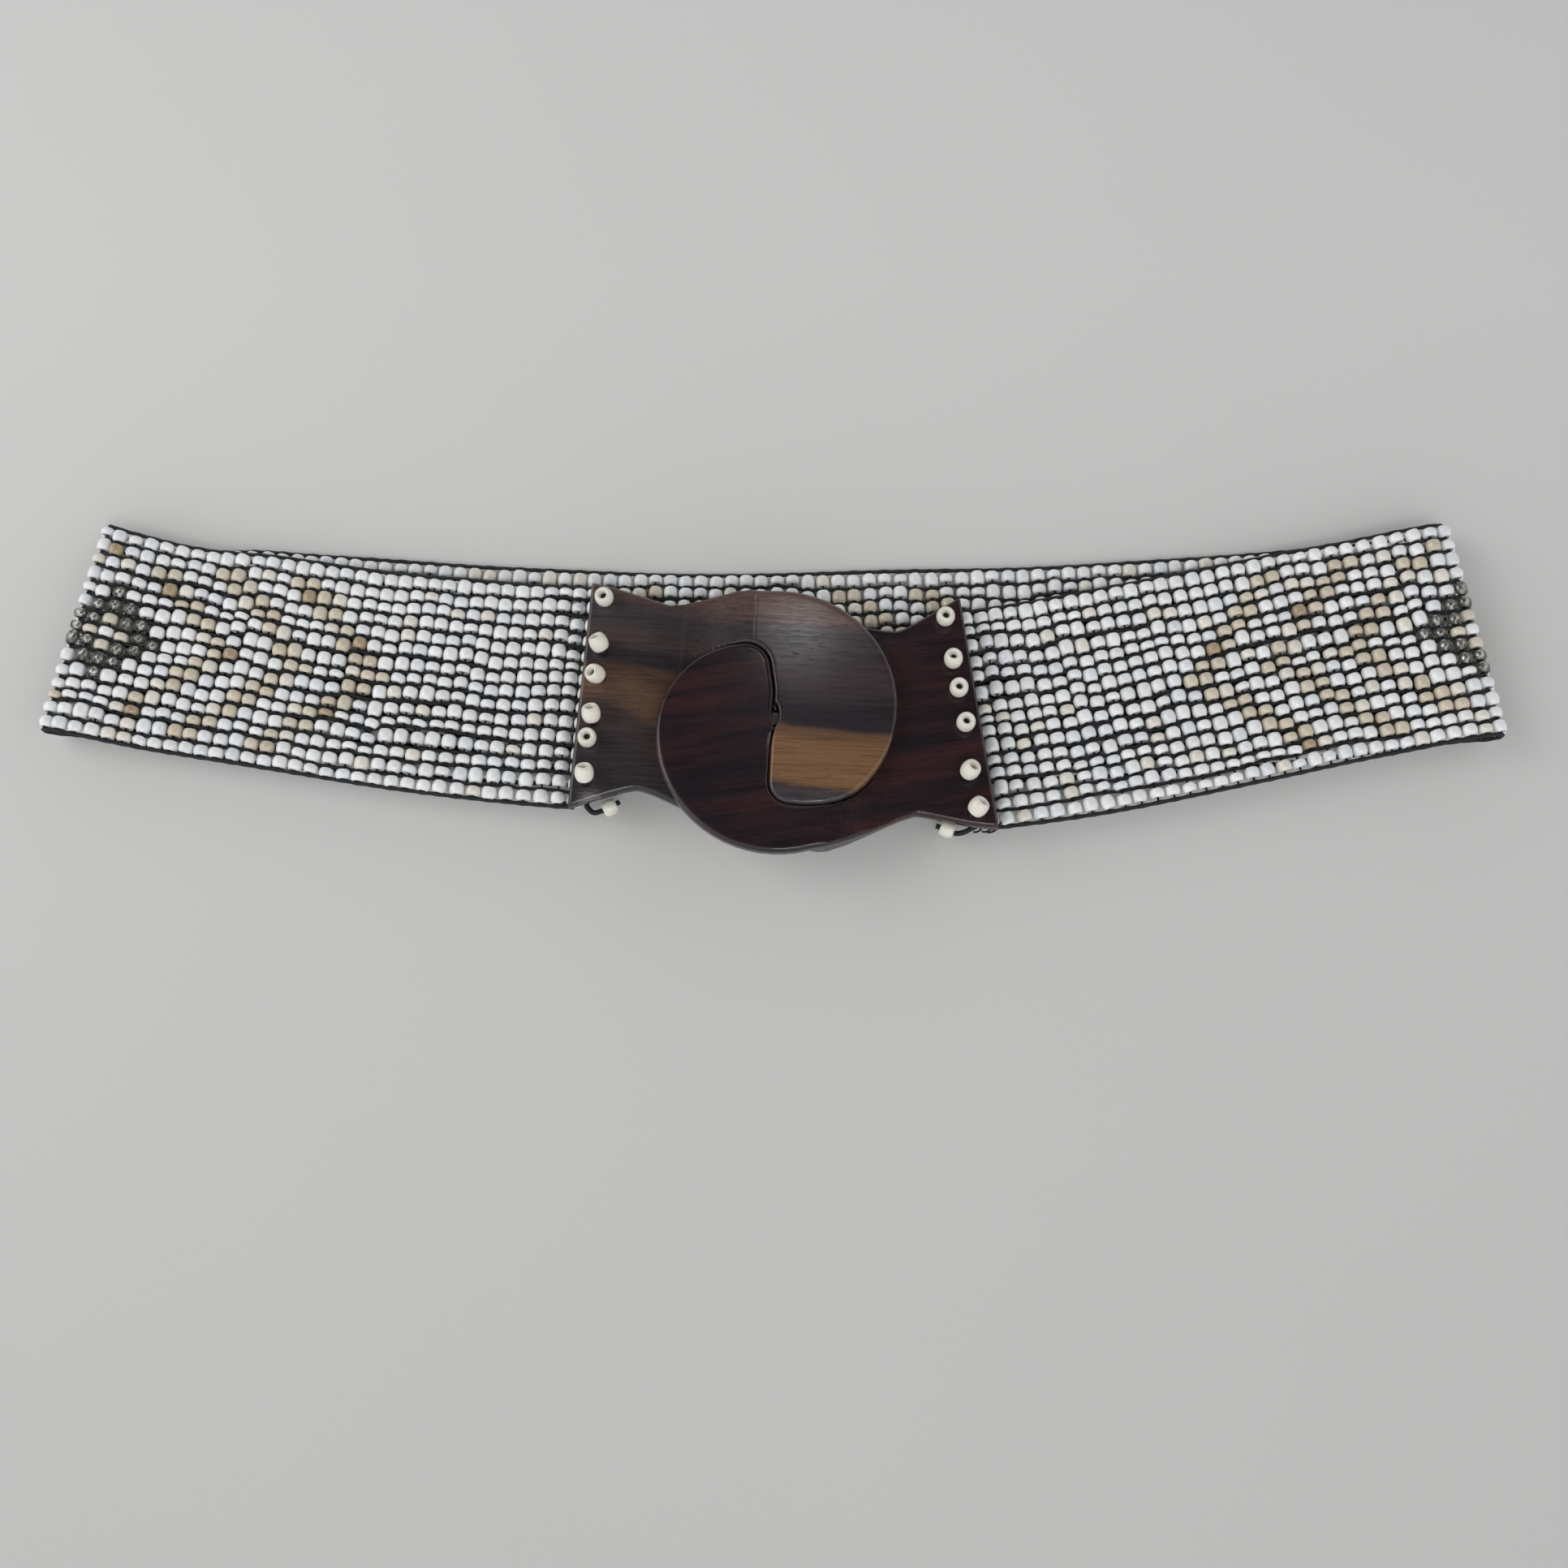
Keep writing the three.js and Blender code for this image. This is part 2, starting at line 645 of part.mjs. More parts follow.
// One half of the buckle with its lacing, turned to its place in the belt.
function dressedHalf({
    side, shape, otherShape, reach, turn, otherTurn, placed, rows, inset, tail, tailSide, wood,
}) {
    const group = new THREE.Group();
    const half = buckleHalf(shape, otherShape, reach, turn, otherTurn, rows, inset);
    group.add(named(`buckle_hook_${side}`, half, wood));
    group.add(named(`lacing_cord_${side}`, lacingCord(rows, reach, inset, tail, tailSide), materials.cord));
    rows.forEach((row, i) => {
        const name = `lacing_bead_${side}_${i + 1}`;
        const centre = lacingCentre(row, reach, inset);
        group.add(threadedBead(name, lacingBeadDiameter, lacingBeadLength, centre, lacingAxis(row)));
    });
    const route = tailPoints(tail, reach, tailSide);
    const beadAt = tail.findIndex((row) => row.bead);
    const direction = route[beadAt + 1].clone().sub(route[beadAt - 1]);
    group.add(threadedBead(`tie_bead_${side}`, tieBeadDiameter, tieBeadLength, route[beadAt], direction));
    group.rotation.z = radians(placed);
    return group;
}

// The right half is turned half round, so its rows are written from its own frame's far corner.
function turnedRows(rows) {
    return rows.map((row) => ({ ...row, along: 1 - row.along, toward: row.toward + 180 }));
}

const belt = new THREE.Group();
belt.add(named('beaded_band', bandGeometry(), materials.band));
belt.add(dressedHalf({
    side: 'left',
    shape: leftShape,
    otherShape: rightShape,
    reach: leftLacingReach,
    turn: leftHalfTurn,
    otherTurn: rightHalfTurn,
    placed: leftHalfTurn,
    rows: leftLacing,
    inset: leftLacingInset,
    tail: leftTail,
    tailSide: -1,
    wood: materials.leftWood,
}));
belt.add(dressedHalf({
    side: 'right',
    shape: rightShape,
    otherShape: leftShape,
    reach: rightLacingReach,
    turn: rightHalfTurn,
    otherTurn: leftHalfTurn,
    placed: 180 + rightHalfTurn,
    rows: turnedRows(rightLacing),
    inset: rightLacingInset,
    tail: rightTail,
    tailSide: 1,
    wood: materials.rightWood,
}));

// The origin is under the middle of the belt's box.
const box = new THREE.Box3().setFromObject(belt, true);
const middle = box.getCenter(new THREE.Vector3());
belt.position.set(-middle.x, -middle.y, -box.min.z);

export default belt;
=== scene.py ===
"""Dresses a packed beaded belt: woven seed beads on thread, a carved wooden buckle and its lacing."""

import math

import bmesh
import bpy
import numpy as np
from bpy.props import FloatProperty, FloatVectorProperty, IntProperty, PointerProperty
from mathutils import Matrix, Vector


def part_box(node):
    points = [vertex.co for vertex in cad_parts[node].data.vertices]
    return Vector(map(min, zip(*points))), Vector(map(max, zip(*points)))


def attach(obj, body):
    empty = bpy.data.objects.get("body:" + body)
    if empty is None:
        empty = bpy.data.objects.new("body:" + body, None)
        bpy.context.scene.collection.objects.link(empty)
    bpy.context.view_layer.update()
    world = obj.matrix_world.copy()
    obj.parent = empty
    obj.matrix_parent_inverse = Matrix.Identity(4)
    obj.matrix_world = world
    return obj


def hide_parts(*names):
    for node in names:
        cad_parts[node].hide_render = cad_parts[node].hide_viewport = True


bl_info = {
    "name": "Beaded Belt",
    "version": (1, 0, 0),
    "blender": (4, 5, 0),
    "location": "3D View > Sidebar > Belt",
    "description": "Woven seed bead belt with a carved wooden hook buckle",
    "category": "Add Mesh",
}

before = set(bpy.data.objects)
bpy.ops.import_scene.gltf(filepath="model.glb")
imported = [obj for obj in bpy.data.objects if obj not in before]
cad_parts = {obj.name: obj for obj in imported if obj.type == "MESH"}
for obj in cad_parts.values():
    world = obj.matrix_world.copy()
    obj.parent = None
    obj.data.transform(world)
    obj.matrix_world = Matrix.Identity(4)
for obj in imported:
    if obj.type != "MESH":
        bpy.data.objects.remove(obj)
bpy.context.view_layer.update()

# Lengths below are in millimetres unless a name says otherwise.
MM = 0.001

# Middle of the buckle's eye in the row frame.
EYE = np.array([0.771, -12.102])

# The band's path, from the left plate round both folds to the right plate, seen from the eye.
BAND_THICKNESS = 4.5
BAND_WIDTH = 65.6
FIT_GAP = 0.3
FOLD_RADIUS = 4.0
FOLD_LIFT_LENGTH = 30.0
LEFT_FOLD = EYE + (-195.3, 29.8)
RIGHT_FOLD = EYE + (194.8, 28.45)
LEFT_FOLD_TURN = math.radians(-9.8)
RIGHT_FOLD_TURN = math.radians(7.8)
LEFT_END = EYE + (-51.44, 8.6)
RIGHT_END = EYE + (52.2, 1.56)
BACK_HEIGHT = BAND_THICKNESS / 2
FRONT_HEIGHT = BACK_HEIGHT + BAND_THICKNESS + FIT_GAP
STRETCH_SAMPLES = 500
FOLD_SAMPLES = 60

# How far a stretch's curve keeps the heading of its ends, as shares of the stretch's length.
HEADING_SHARE = 1 / 3
BACK_LEAVING_SHARE = 1 / 4

# The weave: 15 rows of beads, with warp threads between the rows and at both edges.
ROWS = 15
COLUMN_PITCH = 4.5

# Where the weave is pushed along the band: column, and how far its beads lie before their even place.
PUSHED = ((0, 0.0), (31, 2.6), (77, 3.7), (124, 1.3), (156, 0.0))

# How far the band's edges are drawn in beside the folds: length from the fold, above 0 on the front layer.
UPPER_DRAWN_IN = ((-48, 0.0), (-36, 1.6), (-24, 3.2), (-11, 3.0), (-3, 1.4), (0, 0.8), (5, 2.4), (11, 3.2),
                  (23, 3.7), (35, 3.3), (51, 2.0), (75, 1.7), (95, 1.1), (112, 0.0))
LOWER_DRAWN_IN = ((-60, 0.0), (-35, 1.5), (-12, 1.8), (-3, 0.9), (0, 0.3), (4, 0.0))

# How far the whole weave sways sideways, and the widths in columns over which drift, sway and the bead
# lengths are evened out. The edges drift less than the rows between them.
SWAY = 0.12
DRIFT_COLUMNS = 4.0
SWAY_COLUMNS = 9.0
LEVEL_COLUMNS = 0.62
EDGE_DRIFT = 0.7

# Shape of the seed beads: how oval they are, and the least and greatest power of their rounding.
BEAD_OVAL = 0.015
BEAD_POWERS = (1.65, 2.3)

# Columns in which the centre of a diamond lies, counted from the left plate.
DIAMOND_COLUMNS = np.array([31, 77, 124])
SILVER_STEPS = (2, 3)
CHEVRON_STEPS = (7, 8, 12, 13, 17, 18)

# Each bead draws a number from 0 to 1. These are the limits beyond which it isn't of the usual colour.
PEARL_BELOW, CREAM_ABOVE = 0.2, 0.93
CHEVRON_BROWN_BELOW, CHEVRON_CREAM_ABOVE = 0.09, 0.82
MISSING_SHARE = 0.6
SHADE_SPREAD = 0.035

# The two halves of the buckle and their lacing.
TURNS = {"left": math.radians(-3.0), "right": math.radians(8.2)}
HALF_TURNS = {"left": TURNS["left"], "right": TURNS["right"] + math.pi}
PLATE_ABOVE_EYE = 5.2
PLATE_HALF_WIDTH = 33.9
REACHES = {"left": 53.3, "right": 56.1}
PLATE_TOP = 13.6
HOOK_TOP = 17.9
HOLE_DROP = 0.8
DISC_RADIUS = 33.3
DISC_RISE = {"left": 3.5, "right": 5.5}
RAMP_START = 27.0
RAMP_END = 7.0

# How each lacing bead leans: degrees from upright, and the direction it leans to.
LEANS = {
    "left": ((8, 190), (48, 125), (32, 180), (42, 100), (3, 0), (46, 95)),
    "right": ((2, 0), (14, 85), (2, 0), (6, 20), (34, 30), (50, 35)),
}

# Points of each cord's tail: along the plate from its corner, and outwards past its lower edge.
TAILS = {
    "left": ((2.6, -3.4), (3.2, -2.2), (4.8, -1.1), (6.9, -1.7), (9.0, -2.8), (11.6, -4.6)),
    "right": ((5.8, -2.8), (7.4, -2.1), (9.6, -1.4), (11.8, -1.5), (13.7, -2.9), (16.6, -4.3)),
}

# Where in its tail each cord goes through the tie bead.
TIE_POINT = 4
LACING_POWER = 1.85

# The knot at the band's left end, and the broken threads at its right end.
KNOT_PLACE = np.array([-58.2, -34.5, 6.6])
KNOT_RADIUS = 1.0
KNOT_TURNS = 3
FRAY_RADIUS = 0.3
FRAYS = (
    ((62.6, -40.0, 8.0), (61.8, -41.6, 7.6), (60.4, -42.5, 7.0), (58.9, -42.7, 6.6)),
    ((61.0, -39.6, 7.6), (59.8, -41.8, 7.0), (58.2, -42.5, 6.6), (57.6, -42.2, 6.2)),
    ((58.4, -39.6, 7.4), (57.2, -41.8, 7.0), (56.0, -42.5, 6.6), (55.2, -42.4, 6.2)),
)

# The camera: 441 mm from the floor point in the middle of the photograph, 73 degrees above it.
PHOTO_MIDDLE = EYE + (2.4, -14.6)
CAMERA_DISTANCE = 441.0
CAMERA_ELEVATION = math.radians(73.0)
LENS = 36.0

# The light from all round is dim towards the ceiling, which the flat wood mirrors. Shares are cosines.
CEILING_DIRECTION = (0.0, 0.37, 0.93)
CEILING_EDGE = math.cos(math.radians(54.0))
CEILING_INSIDE = math.cos(math.radians(32.0))

FLOOR_HALF = 1500.0

# The lamps, in metres: where each hangs, and how wide it is.
SHINE_PLACE, SHINE_SIZE = (0.019, 0.435, 1.033), 0.05
FRONT_PLACE, FRONT_SIZE = (0.1, -0.6, 0.95), 0.3
WINDOW_PLACE, WINDOW_SIZE = (-1.0, 0.2, 0.75), 0.8


def srgb(red, green, blue):
    """Linear colour from the 0 to 255 values that a colour picker shows."""
    values = np.array([red, green, blue]) / 255.0
    low = values / 12.92
    high = ((values + 0.055) / 1.055) ** 2.4
    return tuple(float(x) for x in np.where(values <= 0.04045, low, high))


def length_property(name, description, default):
    return FloatProperty(name=name, description=description, default=default * MM,
                         subtype="DISTANCE", unit="LENGTH", precision=5)


def colour_property(name, description, default):
    return FloatVectorProperty(name=name, description=description, default=default,
                               subtype="COLOR", size=3, min=0.0, max=1.0)


def power_property(name, description, default):
    return FloatProperty(name=name, description=description, default=default, min=0.0,
                         subtype="POWER", unit="POWER")


class WeaveSettings(bpy.types.PropertyGroup):
    """Sizes of the woven band."""
    bead_diameter: length_property("Bead Diameter", "Widest diameter of a seed bead", 4.36)
    bead_length: length_property("Bead Length", "Usual length of a seed bead along its hole", 3.36)
    length_spread: length_property("Length Spread", "How much bead lengths differ", 0.56)
    row_drift: length_property("Row Drift", "How far the rows wander sideways", 0.38)
    warp_diameter: length_property("Warp Diameter", "Thickness of a warp thread", 1.0)
    weft_diameter: length_property("Weft Diameter", "Thickness of a weft thread", 0.42)
    seed: IntProperty(name="Seed", description="Chooses the random sizes and colours", default=7)


class BeadColours(bpy.types.PropertyGroup):
    """Colours of the seed beads."""
    white: colour_property("White", "Most of the band", srgb(224, 225, 225))
    pearl: colour_property("Pearl", "Bluish white beads with a lustre", srgb(217, 219, 223))
    cream: colour_property("Cream", "Warm white beads", srgb(216, 211, 201))
    tan: colour_property("Tan", "Beads of the chevrons", srgb(194, 183, 163))
    brown: colour_property("Brown", "The darkest beads of the chevrons", srgb(160, 142, 116))
    silver: colour_property("Silver", "Clear grey beads with a silvered hole", srgb(215, 214, 209))
    thread: colour_property("Thread", "Warp, weft and lacing cord", srgb(22, 25, 28))


class BuckleSettings(bpy.types.PropertyGroup):
    """Finish of the carved halves."""
    grid_size: length_property("Grid Size", "Spacing of the carved surface's points", 0.36)
    edge_passes: IntProperty(name="Edge Passes", description="How often the edges are rubbed down", default=5)
    swelling: length_property("Swelling", "How far the rubbed surface is moved outwards", 0.1)
    light_wood: colour_property("Light Wood", "Golden stripe of the left half", srgb(112, 83, 60))
    brown_wood: colour_property("Brown Wood", "Brown stripes of the left half", srgb(89, 72, 68))
    grey_wood: colour_property("Grey Wood", "Grey stripes of the left half", srgb(59, 55, 58))
    black_wood: colour_property("Black Wood", "Darkest stripes of the left half", srgb(40, 36, 40))
    dark_wood: colour_property("Dark Wood", "Ground of the right half", srgb(32, 26, 30))
    red_wood: colour_property("Red Wood", "Streaks of the right half", srgb(53, 33, 34))


class LacingSettings(bpy.types.PropertyGroup):
    """Sizes and colour of the lacing."""
    cord_diameter: length_property("Cord Diameter", "Thickness of the lacing cord", 1.5)
    bead_diameter: length_property("Bead Diameter", "Diameter of a lacing bead", 5.3)
    bead_length: length_property("Bead Length", "Length of a lacing bead", 4.6)
    tie_diameter: length_property("Tie Bead Diameter", "Diameter of the bead on each tail", 4.6)
    tie_length: length_property("Tie Bead Length", "Length of the bead on each tail", 4.0)
    bead_hole: length_property("Bead Hole", "Diameter of the hole in these beads", 1.5)
    bead_colour: colour_property("Bead Colour", "Creamy white of the lacing beads", srgb(214, 211, 202))


class StageSettings(bpy.types.PropertyGroup):
    """Floor and lights."""
    floor_colour: colour_property("Floor", "Pale ground under the belt", srgb(203, 203, 201))
    shine_power: power_property("Shine Power", "Power of the small lamp that the hook mirrors", 0.075)
    front_power: power_property("Front Power", "Power of the lamp that the beads mirror", 1.9)
    window_power: power_property("Window Power", "Power of the wide light on the left", 4.2)
    fill_strength: FloatProperty(name="Fill", description="Brightness of the light from all round",
                                 default=1.19, min=0.0)
    ceiling_strength: FloatProperty(name="Ceiling", description="Brightness of the light from above",
                                    default=0.08, min=0.0)


# Meshes from arrays.

def unit(vectors):
    """Vectors divided by their lengths."""
    return vectors / np.linalg.norm(vectors, axis=-1, keepdims=True)


def add_piece(name, points, faces, material, uv=None, colour=None):
    """A smooth mesh piece from points in millimetres and quads, riding on the belt's body."""
    mesh = bpy.data.meshes.new(name)
    mesh.vertices.add(len(points))
    mesh.vertices.foreach_set("co", (np.asarray(points) * MM).astype(np.float32).ravel())
    mesh.loops.add(faces.size)
    mesh.loops.foreach_set("vertex_index", faces.astype(np.int32).ravel())
    mesh.polygons.add(len(faces))
    mesh.polygons.foreach_set("loop_start", np.arange(0, faces.size, faces.shape[1], dtype=np.int32))
    mesh.polygons.foreach_set("use_smooth", np.ones(len(faces), bool))
    mesh.update(calc_edges=True)
    if uv is not None:
        mesh.uv_layers.new(name="Thread").data.foreach_set("uv", uv.astype(np.float32).ravel())
    if colour is not None:
        layer = mesh.color_attributes.new("glaze", "FLOAT_COLOR", "POINT")
        layer.data.foreach_set("color", colour.astype(np.float32).ravel())
    mesh.materials.append(material)
    piece = bpy.data.objects.new(name, mesh)
    bpy.context.scene.collection.objects.link(piece)
    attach(piece, "root")
    return piece


def ring_faces(count, rings, sides, closed):
    """Quads of count grids of rings by sides points, wrapped round the sides and, if closed, along them."""
    spans = rings if closed else rings - 1
    ring = np.arange(spans)[:, None]
    side = np.arange(sides)[None, :]
    after = (ring + 1) % rings
    beside = (side + 1) % sides
    quad = np.stack([ring * sides + side, ring * sides + beside,
                     after * sides + beside, after * sides + side], axis=-1).reshape(-1, 4)
    return (quad[None] + (np.arange(count) * rings * sides)[:, None, None]).reshape(-1, 4)


def bead_surfaces(centres, axes, sides_to, lengths, diameters, holes, powers, ring_angles, around):
    """Drilled beads. The section of a bead is a superellipse ring: at angle a its distance from the axis is
    the middle of hole and rim plus half their difference times cos(a) to the power 2/p, and its place
    along the axis is half the length times sin(a) to that power. The ring is turned about the axis, a
    little oval."""
    a = np.radians(ring_angles)[None, :]
    power = (2.0 / powers)[:, None]
    reach = np.sign(np.cos(a)) * np.abs(np.cos(a)) ** power
    height = np.sign(np.sin(a)) * np.abs(np.sin(a)) ** power
    rim = (diameters / 2)[:, None]
    hole = (holes / 2)[:, None]
    radial = (rim + hole) / 2 + (rim - hole) / 2 * reach
    axial = (lengths / 2)[:, None] * height
    turn = np.arange(around) * 2 * math.pi / around
    side = unit(sides_to - axes * np.sum(sides_to * axes, axis=1, keepdims=True))
    other = np.cross(axes, side)
    phase = (lengths * 7.0)[:, None]
    swell = 1 + BEAD_OVAL * np.sin(2 * turn[None, :] + phase)
    outward = np.cos(turn)[None, :, None] * side[:, None, :] + np.sin(turn)[None, :, None] * other[:, None, :]
    outward = outward * swell[:, :, None]
    points = (centres[:, None, None, :] + axial[:, :, None, None] * axes[:, None, None, :]
              + radial[:, :, None, None] * outward[:, None, :, :])
    faces = ring_faces(len(centres), len(ring_angles), around, closed=True)
    return points.reshape(-1, 3), faces


def sweep(paths, radii, up, around, closed=False):
    """Round cords along paths, given as paths by points by 3. Each point carries a circle of its radius at
    right angles to the path; the circle starts level with the up direction. Open cords end in a point at
    both ends. Returns points, quads and, for each corner, how far round and how far along it is."""
    if closed:
        along = np.roll(paths, -1, axis=1) - np.roll(paths, 1, axis=1)
    else:
        along = np.gradient(paths, axis=1)
    side = unit(np.cross(along, np.broadcast_to(up, paths.shape)))
    top = unit(np.cross(side, along))
    radii = np.broadcast_to(radii, paths.shape[:2])
    if not closed:
        paths, side, top = (np.concatenate([x[:, :1], x, x[:, -1:]], axis=1) for x in (paths, side, top))
        radii = np.concatenate([radii[:, :1] * 1e-3, radii, radii[:, -1:] * 1e-3], axis=1)
    turn = np.arange(around) * 2 * math.pi / around
    circle = (np.cos(turn)[None, None, :, None] * side[:, :, None, :]
              + np.sin(turn)[None, None, :, None] * top[:, :, None, :])
    points = paths[:, :, None, :] + radii[:, :, None, None] * circle
    count, rings = paths.shape[:2]
    faces = ring_faces(count, rings, around, closed)
    step = np.linalg.norm(np.diff(paths, axis=1, append=paths[:, :1]), axis=2)
    run = np.concatenate([np.zeros((count, 1)), np.cumsum(step, axis=1)], axis=1)
    spans = rings if closed else rings - 1
    near = np.broadcast_to(run[:, :spans, None], (count, spans, around))
    far = np.broadcast_to(run[:, 1:spans + 1, None], (count, spans, around))
    left = np.broadcast_to(np.arange(around) / around, near.shape)
    right = left + 1.0 / around
    uv = np.stack([np.stack([left, near], -1), np.stack([right, near], -1),
                   np.stack([right, far], -1), np.stack([left, far], -1)], axis=-2)
    return points.reshape(-1, 3), faces, uv.reshape(-1, 2)


def joined(parts):
    """Several swept cords as one set of points, quads and corner places."""
    starts = np.cumsum([0] + [len(points) for points, _, _ in parts[:-1]])
    points = np.concatenate([part[0] for part in parts])
    faces = np.concatenate([part[1] + start for part, start in zip(parts, starts)])
    uv = np.concatenate([part[2] for part in parts])
    return points, faces, uv


def add_cords(name, parts, material):
    """Swept cords as one piece of thread."""
    points, faces, uv = joined(parts)
    return add_piece(name, points, faces, material, uv=uv)


def smooth_path(points, steps):
    """A Catmull-Rom curve through the points: between two of them, the cubic that leaves and arrives along
    half the chord of its neighbours."""
    points = np.asarray(points, float)
    padded = np.concatenate([2 * points[:1] - points[1:2], points, 2 * points[-1:] - points[-2:-1]])
    before, start, end, after = (padded[i:len(padded) - 3 + i] for i in range(4))
    t = (np.arange(steps) / steps)[None, :, None]
    before, start, end, after = (x[:, None, :] for x in (before, start, end, after))
    curve = 0.5 * (2 * start + (end - before) * t + (2 * before - 5 * start + 4 * end - after) * t ** 2
                   + (3 * start - before - 3 * end + after) * t ** 3)
    return np.concatenate([curve.reshape(-1, 3), points[-1:]])


# The band's path.

def stretch(start, start_turn, end, end_turn, height, leaving_share=HEADING_SHARE):
    """A flat stretch of the band: a cubic curve from start to end that leaves and arrives at the given
    headings, with handles that are shares of the chord. Returns places and directions across the band."""
    t = np.linspace(0, 1, STRETCH_SAMPLES)[:, None]
    chord = np.linalg.norm(end - start)
    leave = start + leaving_share * chord * np.array([math.cos(start_turn), math.sin(start_turn)])
    arrive = end - HEADING_SHARE * chord * np.array([math.cos(end_turn), math.sin(end_turn)])
    s = 1 - t
    plan = (s ** 3 * start + 3 * s ** 2 * t * leave + 3 * s * t ** 2 * arrive + t ** 3 * end)
    heading = unit(np.gradient(plan, axis=0))
    across = np.stack([-heading[:, 1], heading[:, 0], np.zeros(len(plan))], axis=1)
    return np.column_stack([plan, height(plan)]), across


def back_height(plan):
    return np.full(len(plan), BACK_HEIGHT)


def front_height(fold):
    """Height of the front layer: it lies on the back layer and rises by a smooth step near the fold."""
    lift = BACK_HEIGHT + 2 * FOLD_RADIUS - FRONT_HEIGHT

    def height(plan):
        near = 1 - np.clip(np.linalg.norm(plan - fold, axis=1) / FOLD_LIFT_LENGTH, 0, 1)
        return FRONT_HEIGHT + lift * near ** 2 * (3 - 2 * near)
    return height


def fold_turn(fold, heading, outward, start_angle):
    """Half a turn about the fold's axis, between the two layers."""
    angle = start_angle + np.linspace(0, math.pi, FOLD_SAMPLES)[1:-1]
    reach = outward * FOLD_RADIUS * np.abs(np.sin(angle))
    plan = fold + reach[:, None] * np.array([math.cos(heading), math.sin(heading)])
    across = np.tile([-math.sin(heading), math.cos(heading), 0.0], (len(angle), 1))
    return np.column_stack([plan, BACK_HEIGHT + FOLD_RADIUS * (1 + np.cos(angle))]), across


def band_line():
    """The whole path of the band's middle, with its length so far at each sample."""
    left, left_across = stretch(LEFT_FOLD, LEFT_FOLD_TURN, LEFT_END, TURNS["left"],
                                front_height(LEFT_FOLD))
    back, back_across = stretch(LEFT_FOLD, LEFT_FOLD_TURN, RIGHT_FOLD, RIGHT_FOLD_TURN, back_height,
                                BACK_LEAVING_SHARE)
    right, right_across = stretch(RIGHT_END, TURNS["right"], RIGHT_FOLD, RIGHT_FOLD_TURN,
                                  front_height(RIGHT_FOLD))
    parts = [
        (left[::-1], left_across[::-1]),
        fold_turn(LEFT_FOLD, LEFT_FOLD_TURN, -1, 0.0),
        (back, back_across),
        fold_turn(RIGHT_FOLD, RIGHT_FOLD_TURN, 1, math.pi),
        (right[::-1], right_across[::-1]),
    ]
    points = np.concatenate([part[0] for part in parts])
    across = np.concatenate([part[1] for part in parts])
    step = np.linalg.norm(np.diff(points, axis=0), axis=1)
    keep = np.concatenate([[True], step > 1e-9])
    points, across = points[keep], across[keep]
    run = np.concatenate([[0], np.cumsum(np.linalg.norm(np.diff(points, axis=0), axis=1))])
    return run, points, across


BAND_RUN, BAND_POINTS, BAND_ACROSS = band_line()
COLUMNS = int(BAND_RUN[-1] / COLUMN_PITCH)
LEFT_FOLD_RUN = BAND_RUN[np.argmin(BAND_POINTS[:, 0])]
RIGHT_FOLD_RUN = BAND_RUN[np.argmax(BAND_POINTS[:, 0])]


def column_run(column):
    """Length along the band of a column's middle."""
    pushed = np.interp(column, *np.transpose(PUSHED))
    return (np.asarray(column) + 0.5) * BAND_RUN[-1] / COLUMNS - pushed


def band_frame(run):
    """Place, direction along, direction across and direction through the band at lengths along it."""
    def sampled(values, at):
        return np.stack([np.interp(at, BAND_RUN, values[:, i]) for i in range(3)], axis=-1)
    run = np.asarray(run, float)
    reach = 0.4
    place = sampled(BAND_POINTS, run)
    ahead = sampled(BAND_POINTS, np.clip(run + reach, 0, BAND_RUN[-1]))
    behind = sampled(BAND_POINTS, np.clip(run - reach, 0, BAND_RUN[-1]))
    along = unit(ahead - behind)
    across = unit(sampled(BAND_ACROSS, run))
    return place, along, across, unit(np.cross(along, across))


# The weave.

def smoothed(values, width):
    """Values averaged along their first axis with a bell of the given width."""
    reach = int(3 * width) + 1
    bell = np.exp(-0.5 * (np.arange(-reach, reach + 1) / width) ** 2)
    bell /= bell.sum()
    padded = np.pad(values, ((reach, reach), (0, 0)), mode="edge")
    return sum(weight * padded[i:i + len(values)] for i, weight in enumerate(bell))


def weave_lines(settings):
    """Where the 16 warp threads lie across the band at each column, and the length of each bead.
    Bead lengths are random; the warps are the sums of these lengths and of the threads between, levelled to
    the band's width, smoothed along the band and given a slow drift."""
    random = np.random.default_rng(settings.seed)
    thread = settings.warp_diameter / MM
    usual = settings.bead_length / MM
    spread = settings.length_spread / MM
    lengths = usual + spread * random.standard_normal((COLUMNS, ROWS)).clip(-1.9, 1.9)
    sums = np.concatenate([np.zeros((COLUMNS, 1)), np.cumsum(lengths + thread, axis=1)], axis=1)
    level = sums / sums[:, -1:] * (BAND_WIDTH - thread)
    drift = smoothed(random.standard_normal((COLUMNS, ROWS + 1)), DRIFT_COLUMNS)
    drift = drift / drift.std() * settings.row_drift / MM
    drift[:, [0, -1]] *= EDGE_DRIFT
    sway = smoothed(random.standard_normal((COLUMNS, 1)), SWAY_COLUMNS)
    sway = sway / sway.std() * SWAY
    run = column_run(np.arange(COLUMNS))
    from_left, from_right = LEFT_FOLD_RUN - run, run - RIGHT_FOLD_RUN
    upper = np.interp(from_left, *np.transpose(UPPER_DRAWN_IN))
    lower = np.interp(np.where(run < (LEFT_FOLD_RUN + RIGHT_FOLD_RUN) / 2, from_left, from_right),
                      *np.transpose(LOWER_DRAWN_IN))
    down = np.linspace(0, 1, ROWS + 1)[None, :]
    warps = (BAND_WIDTH - thread) / 2 - smoothed(level, LEVEL_COLUMNS) + drift + sway
    warps += lower[:, None] * down ** 3 - upper[:, None] * (1 - down)
    room = -np.diff(warps, axis=1) - 0.78 * thread
    return warps, np.minimum(lengths, room), random


